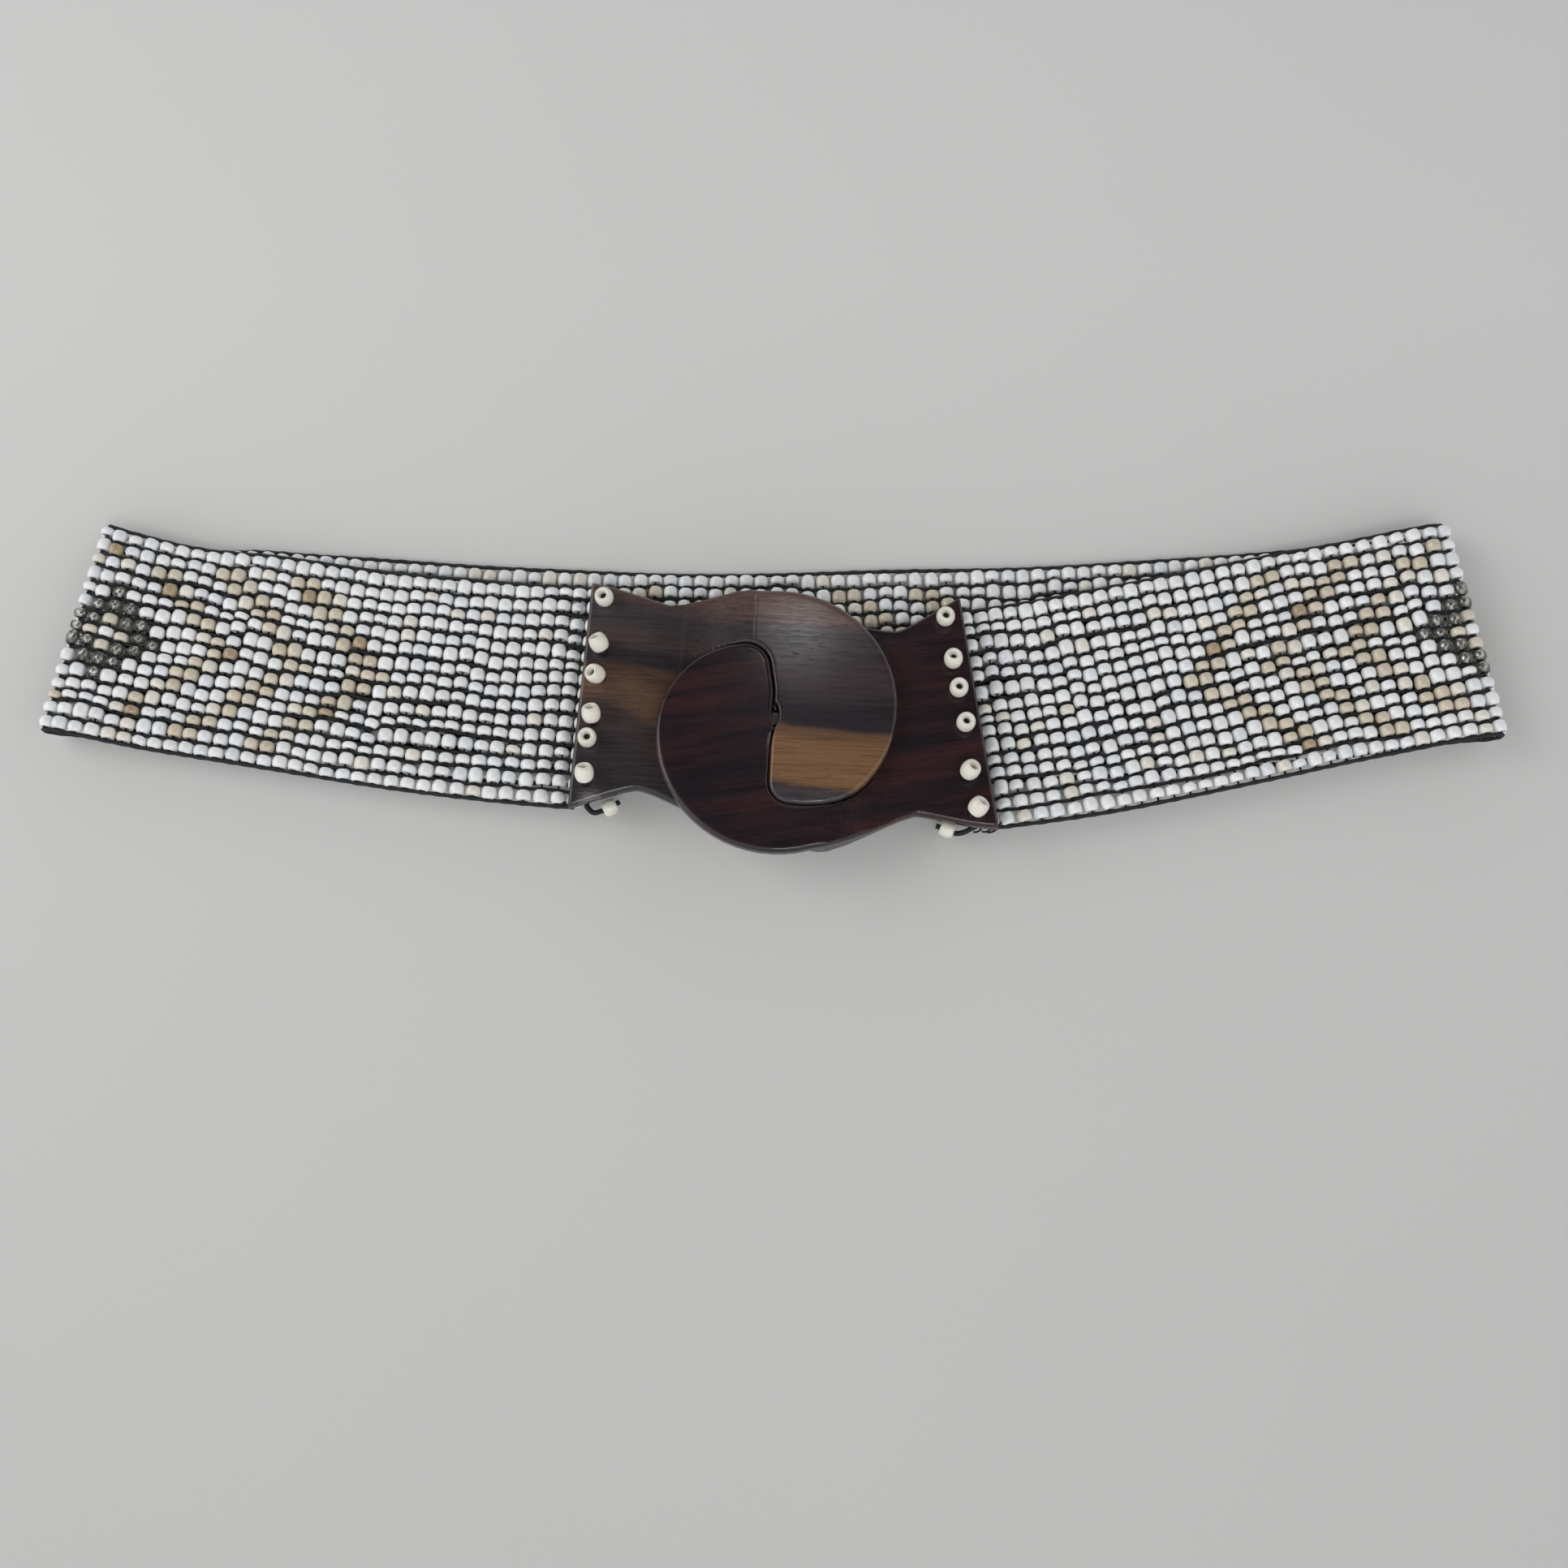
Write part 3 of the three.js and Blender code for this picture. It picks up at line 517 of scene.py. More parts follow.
def pattern():
    """Steps along plus steps across from the centre of the nearest diamond, for each column and row."""
    columns = np.arange(COLUMNS)[:, None]
    along = np.abs(columns - DIAMOND_COLUMNS[None, :]).min(axis=1)
    across = np.abs(np.arange(ROWS) - ROWS // 2)
    return along[:, None] + across[None, :]


def bead_colours(steps, colours, random):
    """One colour for each bead: white with some pearl and cream ones, tan on the chevrons with some cream
    and brown ones, light tan next to the diamond's centre. The outermost rows have no chevrons, and the rows
    beside them lack most of the first chevron. Each bead is a little lighter or darker than its kind."""
    shape = steps.shape
    chance = random.random(shape)
    colour = np.tile(np.array(colours.white), shape + (1,))
    colour[chance < PEARL_BELOW] = colours.pearl
    colour[chance > CREAM_ABOVE] = colours.cream
    across = np.abs(np.arange(ROWS) - ROWS // 2)[None, :]
    near = (across == ROWS // 2 - 1) & (steps < CHEVRON_STEPS[2]) & (random.random(shape) < MISSING_SHARE)
    faded = near | (across == ROWS // 2)
    chevron = np.isin(steps, CHEVRON_STEPS) & ~faded
    tan, brown, cream = (np.array(x) for x in (colours.tan, colours.brown, colours.cream))
    share = random.random(shape)[..., None]
    colour[chevron] = (tan * (1 - share * 0.35) + cream * share * 0.35)[chevron]
    colour[chevron & (chance < CHEVRON_BROWN_BELOW)] = brown
    colour[chevron & (chance > CHEVRON_CREAM_ABOVE)] = cream
    colour[steps == 1] = 0.6 * tan + 0.4 * cream
    colour[steps == 0] = colours.white
    colour *= 1 + SHADE_SPREAD * random.standard_normal(shape)[..., None].clip(-1.8, 1.2)
    return colour.clip(0, 0.92)


# Points of a bead's section in degrees, and how many sides a bead has round its axis.
SEED_RING_ANGLES = (0, 32, 62, 102, 258, 298, 328)
SEED_SIDES = 10
LINING_RING_ANGLES = (0, 90, 180, 270)


def place_beads(settings):
    """Centre, axes and sizes of every seed bead."""
    warps, lengths, random = weave_lines(settings)
    column, row = np.meshgrid(np.arange(COLUMNS), np.arange(ROWS), indexing="ij")
    run = column_run(column) + 0.14 * random.standard_normal(column.shape).clip(-1.5, 1.5)
    place, along, across, through = band_frame(run)
    middle = (warps[:, :-1] + warps[:, 1:]) / 2 + 0.1 * random.standard_normal(column.shape)
    lift = 0.07 * random.standard_normal(column.shape).clip(-1.3, 1.3)
    centres = place + across * middle[..., None] + through * lift[..., None]
    lean = 0.075 * random.standard_normal(column.shape)[..., None].clip(-2, 2)
    axes = unit(across + along * lean + through * 0.04 * random.standard_normal(column.shape)[..., None])
    diameters = settings.bead_diameter / MM * (1 + 0.025 * random.standard_normal(column.shape).clip(-2, 1))
    powers = random.uniform(*BEAD_POWERS, column.shape)
    return {"centres": centres, "axes": axes, "along": along, "lengths": lengths, "diameters": diameters,
            "powers": powers, "steps": pattern(), "random": random, "warps": warps}


def beads_of(beads, chosen, hole, ring_angles, around):
    """Surfaces of the chosen beads of the band."""
    pick = {key: beads[key][chosen] for key in ("centres", "axes", "along", "lengths", "diameters", "powers")}
    holes = np.full(len(pick["lengths"]), hole)
    return bead_surfaces(pick["centres"], pick["axes"], pick["along"], pick["lengths"], pick["diameters"],
                         holes, pick["powers"], ring_angles, around)


# Materials.

def new_material(name, roughness, **values):
    """A principled material and its node tree, with constant values set on the shader itself."""
    material = bpy.data.materials.new(name)
    material.use_nodes = True
    shader = material.node_tree.nodes["Principled BSDF"]
    shader.inputs["Roughness"].default_value = roughness
    for key, value in values.items():
        shader.inputs[key.replace("_", " ").title().replace("Ior", "IOR")].default_value = value
    return material, material.node_tree, shader


def add_node(tree, kind, inputs=None, **settings):
    """A node with its settings; inputs maps a socket's name or number to a value or to another socket."""
    node = tree.nodes.new(kind)
    for key, value in settings.items():
        setattr(node, key, value)
    for key, value in (inputs or {}).items():
        if isinstance(value, bpy.types.NodeSocket):
            tree.links.new(value, node.inputs[key])
        else:
            node.inputs[key].default_value = value
    return node


def math_node(tree, operation, first, second=0.0, third=0.0, clamp=False):
    node = add_node(tree, "ShaderNodeMath", {0: first, 1: second, 2: third}, operation=operation)
    node.use_clamp = clamp
    return node.outputs[0]


def mixed(tree, factor, first, second, blend="MIX"):
    """Two colours mixed by a factor."""
    node = add_node(tree, "ShaderNodeMix", data_type="RGBA", blend_type=blend)
    for index, value in ((0, factor), (6, first), (7, second)):
        if isinstance(value, bpy.types.NodeSocket):
            tree.links.new(value, node.inputs[index])
        elif index == 0:
            node.inputs[index].default_value = value
        else:
            node.inputs[index].default_value = (*value[:3], 1.0)
    return node.outputs[2]


def ramp(tree, factor, stops):
    """A colour ramp with (position, colour) stops."""
    node = add_node(tree, "ShaderNodeValToRGB", {0: factor})
    elements = node.color_ramp.elements
    while len(elements) < len(stops):
        elements.new(0.5)
    for element, (position, colour) in zip(elements, stops):
        element.position = position
        element.color = (*colour[:3], 1.0)
    return node.outputs[0]


def grey(value):
    return (value, value, value)


def bump(tree, shader, height, distance):
    """Raises the surface by a height from 0 to 1 times a distance in millimetres."""
    node = add_node(tree, "ShaderNodeBump", {"Strength": 1.0, "Distance": distance * MM, "Height": height})
    tree.links.new(node.outputs[0], shader.inputs["Normal"])


def noise(tree, vector, scale, detail, roughness=0.5):
    node = add_node(tree, "ShaderNodeTexNoise",
                    {"Vector": vector, "Scale": scale, "Detail": detail, "Roughness": roughness})
    return node.outputs[0]


def scaled(tree, place, factors):
    """Coordinates multiplied by a factor for each axis."""
    return add_node(tree, "ShaderNodeVectorMath", {0: place, 1: factors}, operation="MULTIPLY").outputs[0]


def let_light_in(shader, radius, scale):
    """Lets light seep a little way into glass: how far in each colour, times a scale in millimetres."""
    for name, value in (("Weight", 0.12), ("Radius", radius), ("Scale", scale * MM)):
        shader.inputs[f"Subsurface {name}"].default_value = value


def object_place(tree, location=(0, 0, 0), turn=0.0, scale=(MM, MM, MM)):
    """Object coordinates seen from a place and a turn, divided by a scale."""
    source = add_node(tree, "ShaderNodeTexCoord").outputs["Object"]
    return add_node(tree, "ShaderNodeMapping", {"Vector": source, "Location": location,
                                                 "Rotation": (0, 0, turn), "Scale": scale},
                    vector_type="TEXTURE").outputs[0]


def glass_bead_material(name):
    """Opaque pressed glass: each bead's own colour, faint cloudiness, a glossy wavy skin."""
    material, tree, shader = new_material(name, 0.2, specular_ior_level=0.55)
    let_light_in(shader, (1.0, 0.9, 0.8), 0.6)
    glaze = add_node(tree, "ShaderNodeVertexColor", layer_name="glaze").outputs[0]
    place = object_place(tree)
    cloud = noise(tree, place, 0.5, 2.0)
    shade = ramp(tree, cloud, [(0.3, grey(0.9)), (0.7, grey(1.0))])
    tree.links.new(mixed(tree, 1.0, glaze, shade, "MULTIPLY"), shader.inputs["Base Color"])
    bump(tree, shader, noise(tree, place, 0.9, 1.0), 0.12)
    return material


def clear_bead_material(colour):
    """Smoky clear glass of the diamond's beads."""
    material, tree, shader = new_material("smoky_glass", 0.1, ior=1.42)
    shader.inputs["Transmission Weight"].default_value = 0.96
    place = object_place(tree)
    smoke = ramp(tree, noise(tree, place, 0.35, 1.0), [(0.3, np.array(colour) * 0.8), (0.7, colour)])
    tree.links.new(smoke, shader.inputs["Base Color"])
    bump(tree, shader, noise(tree, place, 0.8, 1.0), 0.1)
    return material


def silver_lining_material():
    """The silvered wall of a clear bead's hole, mottled with tarnish."""
    material, tree, shader = new_material("silver_lining", 0.33, metallic=1.0)
    place = object_place(tree)
    tarnish = ramp(tree, noise(tree, place, 0.6, 2.0), [(0.4, grey(0.5)), (0.6, grey(0.97))])
    tree.links.new(tarnish, shader.inputs["Base Color"])
    bump(tree, shader, noise(tree, place, 1.1, 1.0), 0.15)
    return material


def thread_material(colour):
    """Black twisted thread: two plies wind round it, with painted shade in the grooves between them, and dust
    greys it a little.
    """
    material, tree, shader = new_material("black_thread", 0.62, specular_ior_level=0.35)
    source = add_node(tree, "ShaderNodeUVMap", uv_map="Thread").outputs[0]
    parts = add_node(tree, "ShaderNodeSeparateXYZ", {0: source})
    turns = math_node(tree, "MULTIPLY_ADD", parts.outputs[1], 0.75, parts.outputs[0])
    ply = math_node(tree, "SINE", math_node(tree, "MULTIPLY", turns, 4 * math.pi))
    height = math_node(tree, "MULTIPLY_ADD", ply, 0.5, 0.5)
    dust = noise(tree, object_place(tree), 0.6, 3.0)
    ground = ramp(tree, dust, [(0.35, np.array(colour) * 0.75), (0.75, np.array(colour) * 1.7)])
    # Painted shade: the thread is darker in the grooves between the plies.
    shade = ramp(tree, height, [(0.0, grey(0.5)), (0.6, grey(1.0))])
    tree.links.new(mixed(tree, 1.0, ground, shade, "MULTIPLY"), shader.inputs["Base Color"])
    bump(tree, shader, height, 0.12)
    return material


def lacing_bead_material(colour):
    """Creamy glass with faint bands round the bead and a glossy skin."""
    material, tree, shader = new_material("creamy_glass", 0.24, specular_ior_level=0.5)
    let_light_in(shader, (1.0, 0.85, 0.7), 0.8)
    place = object_place(tree)
    cloud = noise(tree, place, 0.32, 3.0)
    shade = ramp(tree, cloud, [(0.3, np.array(colour) * (0.9, 0.88, 0.83)), (0.65, colour)])
    tree.links.new(shade, shader.inputs["Base Color"])
    bump(tree, shader, noise(tree, place, 0.7, 2.0), 0.12)
    return material


def grain(tree, place):
    """Fine grain and pores of wood whose fibres run along X, in the half's own frame."""
    fine = noise(tree, scaled(tree, place, (0.05, 1.3, 1.3)), 1.0, 6.0, 0.62)
    pores = noise(tree, scaled(tree, place, (0.3, 5.0, 5.0)), 1.0, 2.0)
    return fine, pores


def finish_wood(tree, shader, colour, fine, pores):
    """Multiplies a wood colour by its grain and pores, lightens the edges with pale paint that is partly wear
    and partly a painted highlight, and raises the grain.
    """
    streak = ramp(tree, fine, [(0.3, grey(0.62)), (0.5, grey(1.0)), (0.72, grey(1.22))])
    fleck = ramp(tree, pores, [(0.3, grey(0.55)), (0.42, grey(1.0))])
    shaded = mixed(tree, 1.0, mixed(tree, 1.0, colour, streak, "MULTIPLY"), fleck, "MULTIPLY")
    wear_and_highlight = add_node(tree, "ShaderNodeAttribute", attribute_name="wear_and_highlight").outputs["Fac"]
    # Pale edges: partly wear, partly a painted highlight on the rims.
    worn_and_highlit = mixed(tree, 0.8, shaded, srgb(176, 160, 152))
    tree.links.new(mixed(tree, wear_and_highlight, shaded, worn_and_highlit), shader.inputs["Base Color"])
    rough = ramp(tree, fine, [(0.3, grey(0.15)), (0.7, grey(0.11))])
    tree.links.new(rough, shader.inputs["Roughness"])
    height = math_node(tree, "MULTIPLY_ADD", fleck, 0.6, math_node(tree, "MULTIPLY", fine, 0.4))
    bump(tree, shader, height, 0.012)


# Stripes of the left half, from its upper edge down: how much of the light, brown, grey and black wood each
# has on the plate and on the hook, and the heights above the eye between which it lies on each of the two.
# Between two stripes the wood changes gradually.
STRIPES = (
    ((0, 0.9, 0, 0), (0, 1, 0, 0), (39.0, 34.5), (38.0, 28.5)),
    ((0, 0, 1.1, 0), (0, 0, 0.9, 0), (31.5, 27.0), (25.5, 19.5)),
    ((0, 0.5, 0.5, 0), (0, 0.2, 0, 0.8), (24.5, 21.5), (17.0, 7.0)),
    ((0, 0, 0.5, 0.5), (0, 0, 0, 1), (18.5, 15.5), (3.0, -3.0)),
    ((0.2, 0.5, 0, 0), (0.62, 0, 0.1, 0), (12.5, 11.0), (-4.6, -6.2)),
    ((0.4, 0.5, 0, 0), (1, 0, 0, 0), (9.0, 5.0), (-8.5, -19.0)),
    ((0, 0.4, 0.4, 0), (0, 0.3, 0.5, 0), (1.0, -3.5), (-20.0, -20.6)),
    ((0, 0, 0.6, 0.4), (0, 0, 1.1, 0), (-7.0, -33.0), (-21.5, -33.0)),
)
STRIPE_SPAN = 40.0

# Painted shade along the left half's arm, darkest about the foot of the ramp between plate and hook: place
# from plate to hook, and share of the wood's colour.
ARM_PAINTED_SHADE = ((0.0, 1.0), (0.18, 0.86), (0.4, 0.66), (0.6, 0.8), (0.78, 1.0))

# Scratched corner of the left plate in the half's own frame, and how far the scratches reach.
SCUFF_PLACE = (-49.0, -25.5, PLATE_TOP)
SCUFF_REACH = 6.5


def striped_wood_material(settings):
    """Wood in brown, golden and grey-black stripes that run along the belt. Each height is turned into a
    place in the row of stripes, once as on the plate and once as on the hook, and the place moves from the
    first to the second along the arm, so that the stripes flow from one to the other."""
    material, tree, shader = new_material("striped_wood", 0.4, specular_ior_level=0.32)
    place = object_place(tree, (EYE[0] * MM, EYE[1] * MM, 0), TURNS["left"])
    fine, pores = grain(tree, place)
    wave = noise(tree, scaled(tree, place, (0.022, 0.06, 0.06)), 1.0, 2.0, 0.4)
    parts = add_node(tree, "ShaderNodeSeparateXYZ", {0: place})
    sway = math_node(tree, "MULTIPLY_ADD", wave, 7.0, -3.5)
    level = math_node(tree, "ADD", parts.outputs[1], math_node(tree, "MULTIPLY_ADD", fine, 2.6, -1.3))
    level = math_node(tree, "ADD", level, sway)
    share = math_node(tree, "MULTIPLY_ADD", level, 0.5 / STRIPE_SPAN, 0.5)
    woods = np.array([settings.light_wood, settings.brown_wood, settings.grey_wood, settings.black_wood])
    steps = np.arange(2 * len(STRIPES)) / (2 * len(STRIPES) - 1)

    def places(heights):
        levels = 0.5 + np.ravel(heights) * 0.5 / STRIPE_SPAN
        return ramp(tree, share, [(level, grey(step)) for level, step in sorted(zip(levels, steps))])

    def stripes(step, shares):
        return ramp(tree, step, list(zip(steps, np.repeat(np.array(shares, float) @ woods, 2, axis=0))))
    along = parts.outputs[0]
    over = math_node(tree, "MULTIPLY_ADD", along, 1 / 52.0, 0.9, clamp=True)
    plate_shares, hook_shares, plate_heights, hook_heights = zip(*STRIPES)
    step = mixed(tree, over, places(plate_heights), places(hook_heights))
    colour = mixed(tree, over, stripes(step, plate_shares), stripes(step, hook_shares))
    # Painted shade: the wood is darkened along the arm's ramp, where the surface bends up from plate to hook.
    shade = ramp(tree, math_node(tree, "MULTIPLY_ADD", along, 1 / 60.0, 0.9, clamp=True),
                 [(at, grey(value)) for at, value in ARM_PAINTED_SHADE])
    colour = mixed(tree, 1.0, colour, shade, "MULTIPLY")
    finish_wood(tree, shader, scuffed(tree, place, colour), fine, pores)
    return material


def scuffed(tree, place, colour):
    """Pale scratches around the plate's lower corner, where it rubs."""
    far = add_node(tree, "ShaderNodeVectorMath", {0: place, 1: SCUFF_PLACE},
                   operation="DISTANCE").outputs["Value"]
    near = math_node(tree, "SUBTRACT", 1.0, math_node(tree, "DIVIDE", far, SCUFF_REACH), clamp=True)
    slanted = add_node(tree, "ShaderNodeMapping", {"Vector": place, "Rotation": (0, 0, math.radians(50.0)),
                                                    "Scale": (0.25, 2.2, 1.0)}).outputs[0]
    lines = noise(tree, slanted, 1.0, 3.0, 0.6)
    mark = ramp(tree, math_node(tree, "MULTIPLY", near, lines), [(0.2, grey(0.0)), (0.42, grey(0.55))])
    return mixed(tree, mark, colour, srgb(128, 122, 118))


def dark_wood_material(settings):
    """Very dark wood with faint red streaks and fine black lines."""
    material, tree, shader = new_material("dark_wood", 0.38, specular_ior_level=0.3)
    place = object_place(tree, (EYE[0] * MM, EYE[1] * MM, 0), TURNS["right"])
    fine, pores = grain(tree, place)
    streaks = noise(tree, scaled(tree, place, (0.02, 0.14, 0.14)), 1.0, 3.0, 0.55)
    colour = ramp(tree, streaks, [(0.4, settings.dark_wood), (0.62, settings.red_wood)])
    finish_wood(tree, shader, colour, fine, pores)
    return material


# Operators.

class BELT_OT_stage(bpy.types.Operator):
    """Adds the pale floor, the soft lights and the camera at the photograph's angle"""
    bl_idname = "belt.stage"
    bl_label = "Stage"

    def execute(self, context):
        settings = context.scene.belt_stage
        self.add_floor(settings)
        self.add_lights(context, settings)
        self.add_camera(context)
        return {"FINISHED"}

    def add_floor(self, settings):
        """A flat square sheet, just under the belt."""
        corners = FLOOR_HALF * np.array([(-1, -1, 0), (1, -1, 0), (1, 1, 0), (-1, 1, 0)])
        material, tree, shader = new_material("floor_paint", 0.55, specular_ior_level=0.25)
        place = object_place(tree, scale=(1, 1, 1))
        colour = np.array(settings.floor_colour)
        patch = ramp(tree, noise(tree, place, 5.0, 3.0), [(0.3, colour * 0.985), (0.7, colour)])
        parts = add_node(tree, "ShaderNodeSeparateXYZ", {0: place})
        # Painted shade: the floor darkens towards the viewer, standing in for the lamps' falloff.
        painted_falloff = ramp(tree, math_node(tree, "MULTIPLY_ADD", parts.outputs[1], 2.5, 0.65),
                      [(0.0, grey(0.86)), (1.0, grey(1.0))])
        tree.links.new(mixed(tree, 1.0, patch, painted_falloff, "MULTIPLY"), shader.inputs["Base Color"])
        mesh = bpy.data.meshes.new("floor")
        mesh.from_pydata((corners * MM).tolist(), [], [(0, 1, 2, 3)])
        mesh.materials.append(material)
        floor = bpy.data.objects.new("floor", mesh)
        bpy.context.scene.collection.objects.link(floor)

    def add_lights(self, context, settings):
        """Light from all round, and three round lamps: one that the hook mirrors, one that the beads mirror
        and a wide one like a window."""
        world = bpy.data.worlds.new("studio")
        world.use_nodes = True
        tree = world.node_tree
        ground = tree.nodes["Background"]
        ground.inputs["Color"].default_value = (0.985, 0.99, 1.0, 1.0)
        direction = add_node(tree, "ShaderNodeTexCoord").outputs["Generated"]
        nearness = add_node(tree, "ShaderNodeVectorMath", {0: direction, 1: CEILING_DIRECTION},
                            operation="DOT_PRODUCT").outputs["Value"]
        strength = add_node(tree, "ShaderNodeMapRange", {
            "Value": nearness, "From Min": CEILING_EDGE, "From Max": CEILING_INSIDE,
            "To Min": settings.fill_strength, "To Max": settings.ceiling_strength,
        }, interpolation_type="SMOOTHSTEP").outputs[0]
        tree.links.new(strength, ground.inputs["Strength"])
        context.scene.world = world
        for name, place, size, power in (("shine", SHINE_PLACE, SHINE_SIZE, settings.shine_power),
                                         ("front", FRONT_PLACE, FRONT_SIZE, settings.front_power),
                                         ("window", WINDOW_PLACE, WINDOW_SIZE, settings.window_power)):
            light = bpy.data.lights.new(name, "AREA")
            light.shape = "DISK"
            light.size = size
            light.energy = power
            lamp = bpy.data.objects.new(name, light)
            lamp.location = place
            lamp.rotation_euler = (-lamp.location).to_track_quat("-Z", "Y").to_euler()
            context.scene.collection.objects.link(lamp)

    def add_camera(self, context):
        """Looks at the middle of the photograph from the viewer's side."""
        data = bpy.data.cameras.new("camera")
        data.lens = LENS
        data.sensor_width = LENS
        data.clip_start = 0.01
        camera = bpy.data.objects.new("camera", data)
        target = Vector((PHOTO_MIDDLE[0] * MM, PHOTO_MIDDLE[1] * MM, 0))
        away = Vector((0, -math.cos(CAMERA_ELEVATION), math.sin(CAMERA_ELEVATION))) * CAMERA_DISTANCE * MM
        camera.location = target + away
        camera.rotation_euler = (-away).to_track_quat("-Z", "Y").to_euler()
        context.scene.collection.objects.link(camera)
        context.scene.camera = camera
        context.scene.view_settings.view_transform = "Standard"


class BELT_OT_seed_beads(bpy.types.Operator):
    """Adds the woven seed beads, in place of the band's solid"""
    bl_idname = "belt.seed_beads"
    bl_label = "Seed Beads"

    def execute(self, context):
        settings = context.scene.belt_weave
        colours = context.scene.belt_colours
        beads = place_beads(settings)
        steps = beads["steps"]
        glaze = bead_colours(steps, colours, beads["random"])
        silver = np.isin(steps, SILVER_STEPS)
        glass = glass_bead_material("seed_glass")
        third = np.arange(COLUMNS)[:, None] * 3 // COLUMNS + np.zeros(steps.shape, int)
        hole = settings.weft_diameter / MM * 2.2
        for index, name in enumerate(("left", "back", "right")):
            chosen = (third == index) & ~silver
            points, faces = beads_of(beads, chosen, hole, SEED_RING_ANGLES, SEED_SIDES)
            each = len(SEED_RING_ANGLES) * SEED_SIDES
            colour = np.column_stack([glaze[chosen], np.ones(chosen.sum())]).repeat(each, axis=0)
            piece = add_piece(f"seed_beads_{name}", points, faces, glass, colour=colour)
            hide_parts("beaded_band")
        points, faces = beads_of(beads, silver, hole, SEED_RING_ANGLES, SEED_SIDES + 4)
        add_piece("seed_beads_smoky", points, faces, clear_bead_material(colours.silver))
        lining = dict(beads, diameters=np.full(steps.shape, hole * 2.5), lengths=beads["lengths"] * 0.8)
        points, faces = beads_of(lining, silver, hole * 1.2, LINING_RING_ANGLES, SEED_SIDES)
        add_piece("silver_linings", points, faces, silver_lining_material())
        return {"FINISHED"}


class BELT_OT_threads(bpy.types.Operator):
    """Adds the warp threads along the band and the weft threads through its beads"""
    bl_idname = "belt.threads"
    bl_label = "Warp and Weft"

    def execute(self, context):
        settings = context.scene.belt_weave
        material = thread_material(context.scene.belt_colours.thread)
        warps = weave_lines(settings)[0]
        self.add_warps(settings, warps, material)
        self.add_wefts(settings, warps, material)
        return {"FINISHED"}

    def add_warps(self, settings, warps, material):
        """16 threads along the band. Each rises and dips by turns as it passes the columns of beads. Inner
        ones are thinner where a weft binds them, and outer ones thicker, where it is wound round them."""
        columns = np.arange(0, COLUMNS - 0.5, 0.5)
        place, along, across, through = band_frame(column_run(columns))
        lines = np.arange(ROWS + 1)
        offsets = np.stack([np.interp(columns, np.arange(COLUMNS), warps[:, k]) for k in lines])
        wave = 0.12 * np.cos(math.pi * columns[None, :] + math.pi * lines[:, None])
        paths = place[None] + across[None] * offsets[..., None] + through[None] * wave[..., None]
        middle = (columns % 1 == 0)[None, :]
        outer = ((lines == 0) | (lines == ROWS))[:, None]
        radii = settings.warp_diameter / MM / 2 * np.where(
            outer, np.where(middle, 1.35, 1.05), np.where(middle, 0.96, 1.04))
        add_cords("warp_threads", [sweep(paths, radii, through[None], 7)], material)

    def add_wefts(self, settings, warps, material):
        """One closed thread for each column: through its beads above the warps one way, round the edge and
        back below them. Inside a bead both passes lie in its hole."""
        place, along, across, through = band_frame(column_run(np.arange(COLUMNS)))
        middles = (warps[:, :-1] + warps[:, 1:]) / 2
        stops = np.empty((COLUMNS, 2 * ROWS + 1))
        stops[:, ::2] = warps
        stops[:, 1::2] = middles
        over = np.zeros(2 * ROWS + 1)
        over[::2] = 0.42 * settings.warp_diameter / MM
        over[1::2] = settings.weft_diameter / MM * 0.3
        past = 0.45 * settings.warp_diameter / MM
        there = np.column_stack([stops[:, :1] + past, stops, stops[:, -1:] - past])
        rise = np.concatenate([[0.0], over, [0.0]])
        paths = np.concatenate([
            place[:, None] + across[:, None] * there[:, 1:, None] + through[:, None] * rise[None, 1:, None],
            place[:, None] + across[:, None] * there[:, ::-1][:, 1:, None]
            - through[:, None] * rise[None, ::-1][:, 1:, None],
        ], axis=1)
        radius = settings.weft_diameter / MM / 2
        add_cords("weft_threads", [sweep(paths, radius, along[:, None], 4, closed=True)], material)


class BELT_OT_loose_ends(bpy.types.Operator):
    """Adds the knot at the band's lower corner on the left and the frayed threads on the right"""
    bl_idname = "belt.loose_ends"
    bl_label = "Knot and Frays"

    def execute(self, context):
        material = thread_material(context.scene.belt_colours.thread)
        self.add_knot(context.scene.belt_weave, material)
        self.add_frays(material)
        return {"FINISHED"}

    def add_knot(self, settings, material):
        """A thread wound round itself: at angle a the coil's radius is a share of its greatest one that
        rises and falls as sin(a/6), and it advances evenly."""
        turn = np.linspace(0.15, 1, 60) * KNOT_TURNS * 2 * math.pi
        reach = KNOT_RADIUS * np.sin(turn / (2 * KNOT_TURNS))
        coil = np.stack([reach * np.cos(turn), KNOT_RADIUS * (turn / turn.max() - 0.5) * 1.6,
                         reach * np.sin(turn)], axis=1)
        ends = np.array([[-3.0, 1.0, -0.6]]), np.array([[1.6, -0.6, -1.2]])
        path = np.concatenate([ends[0], coil, ends[1]]) + KNOT_PLACE
        radius = settings.warp_diameter / MM / 2
        add_cords("band_knot", [sweep(path[None], radius, np.array([0.1, 0.9, 0.3]), 8)], material)

    def add_frays(self, material):
        """Short broken threads that hang out under the plate's corner."""
        up = np.array([0.1, 0.2, 1.0])
        parts = [sweep(smooth_path(fray, 6)[None], FRAY_RADIUS, up, 6) for fray in FRAYS]
        add_cords("frayed_threads", parts, material)


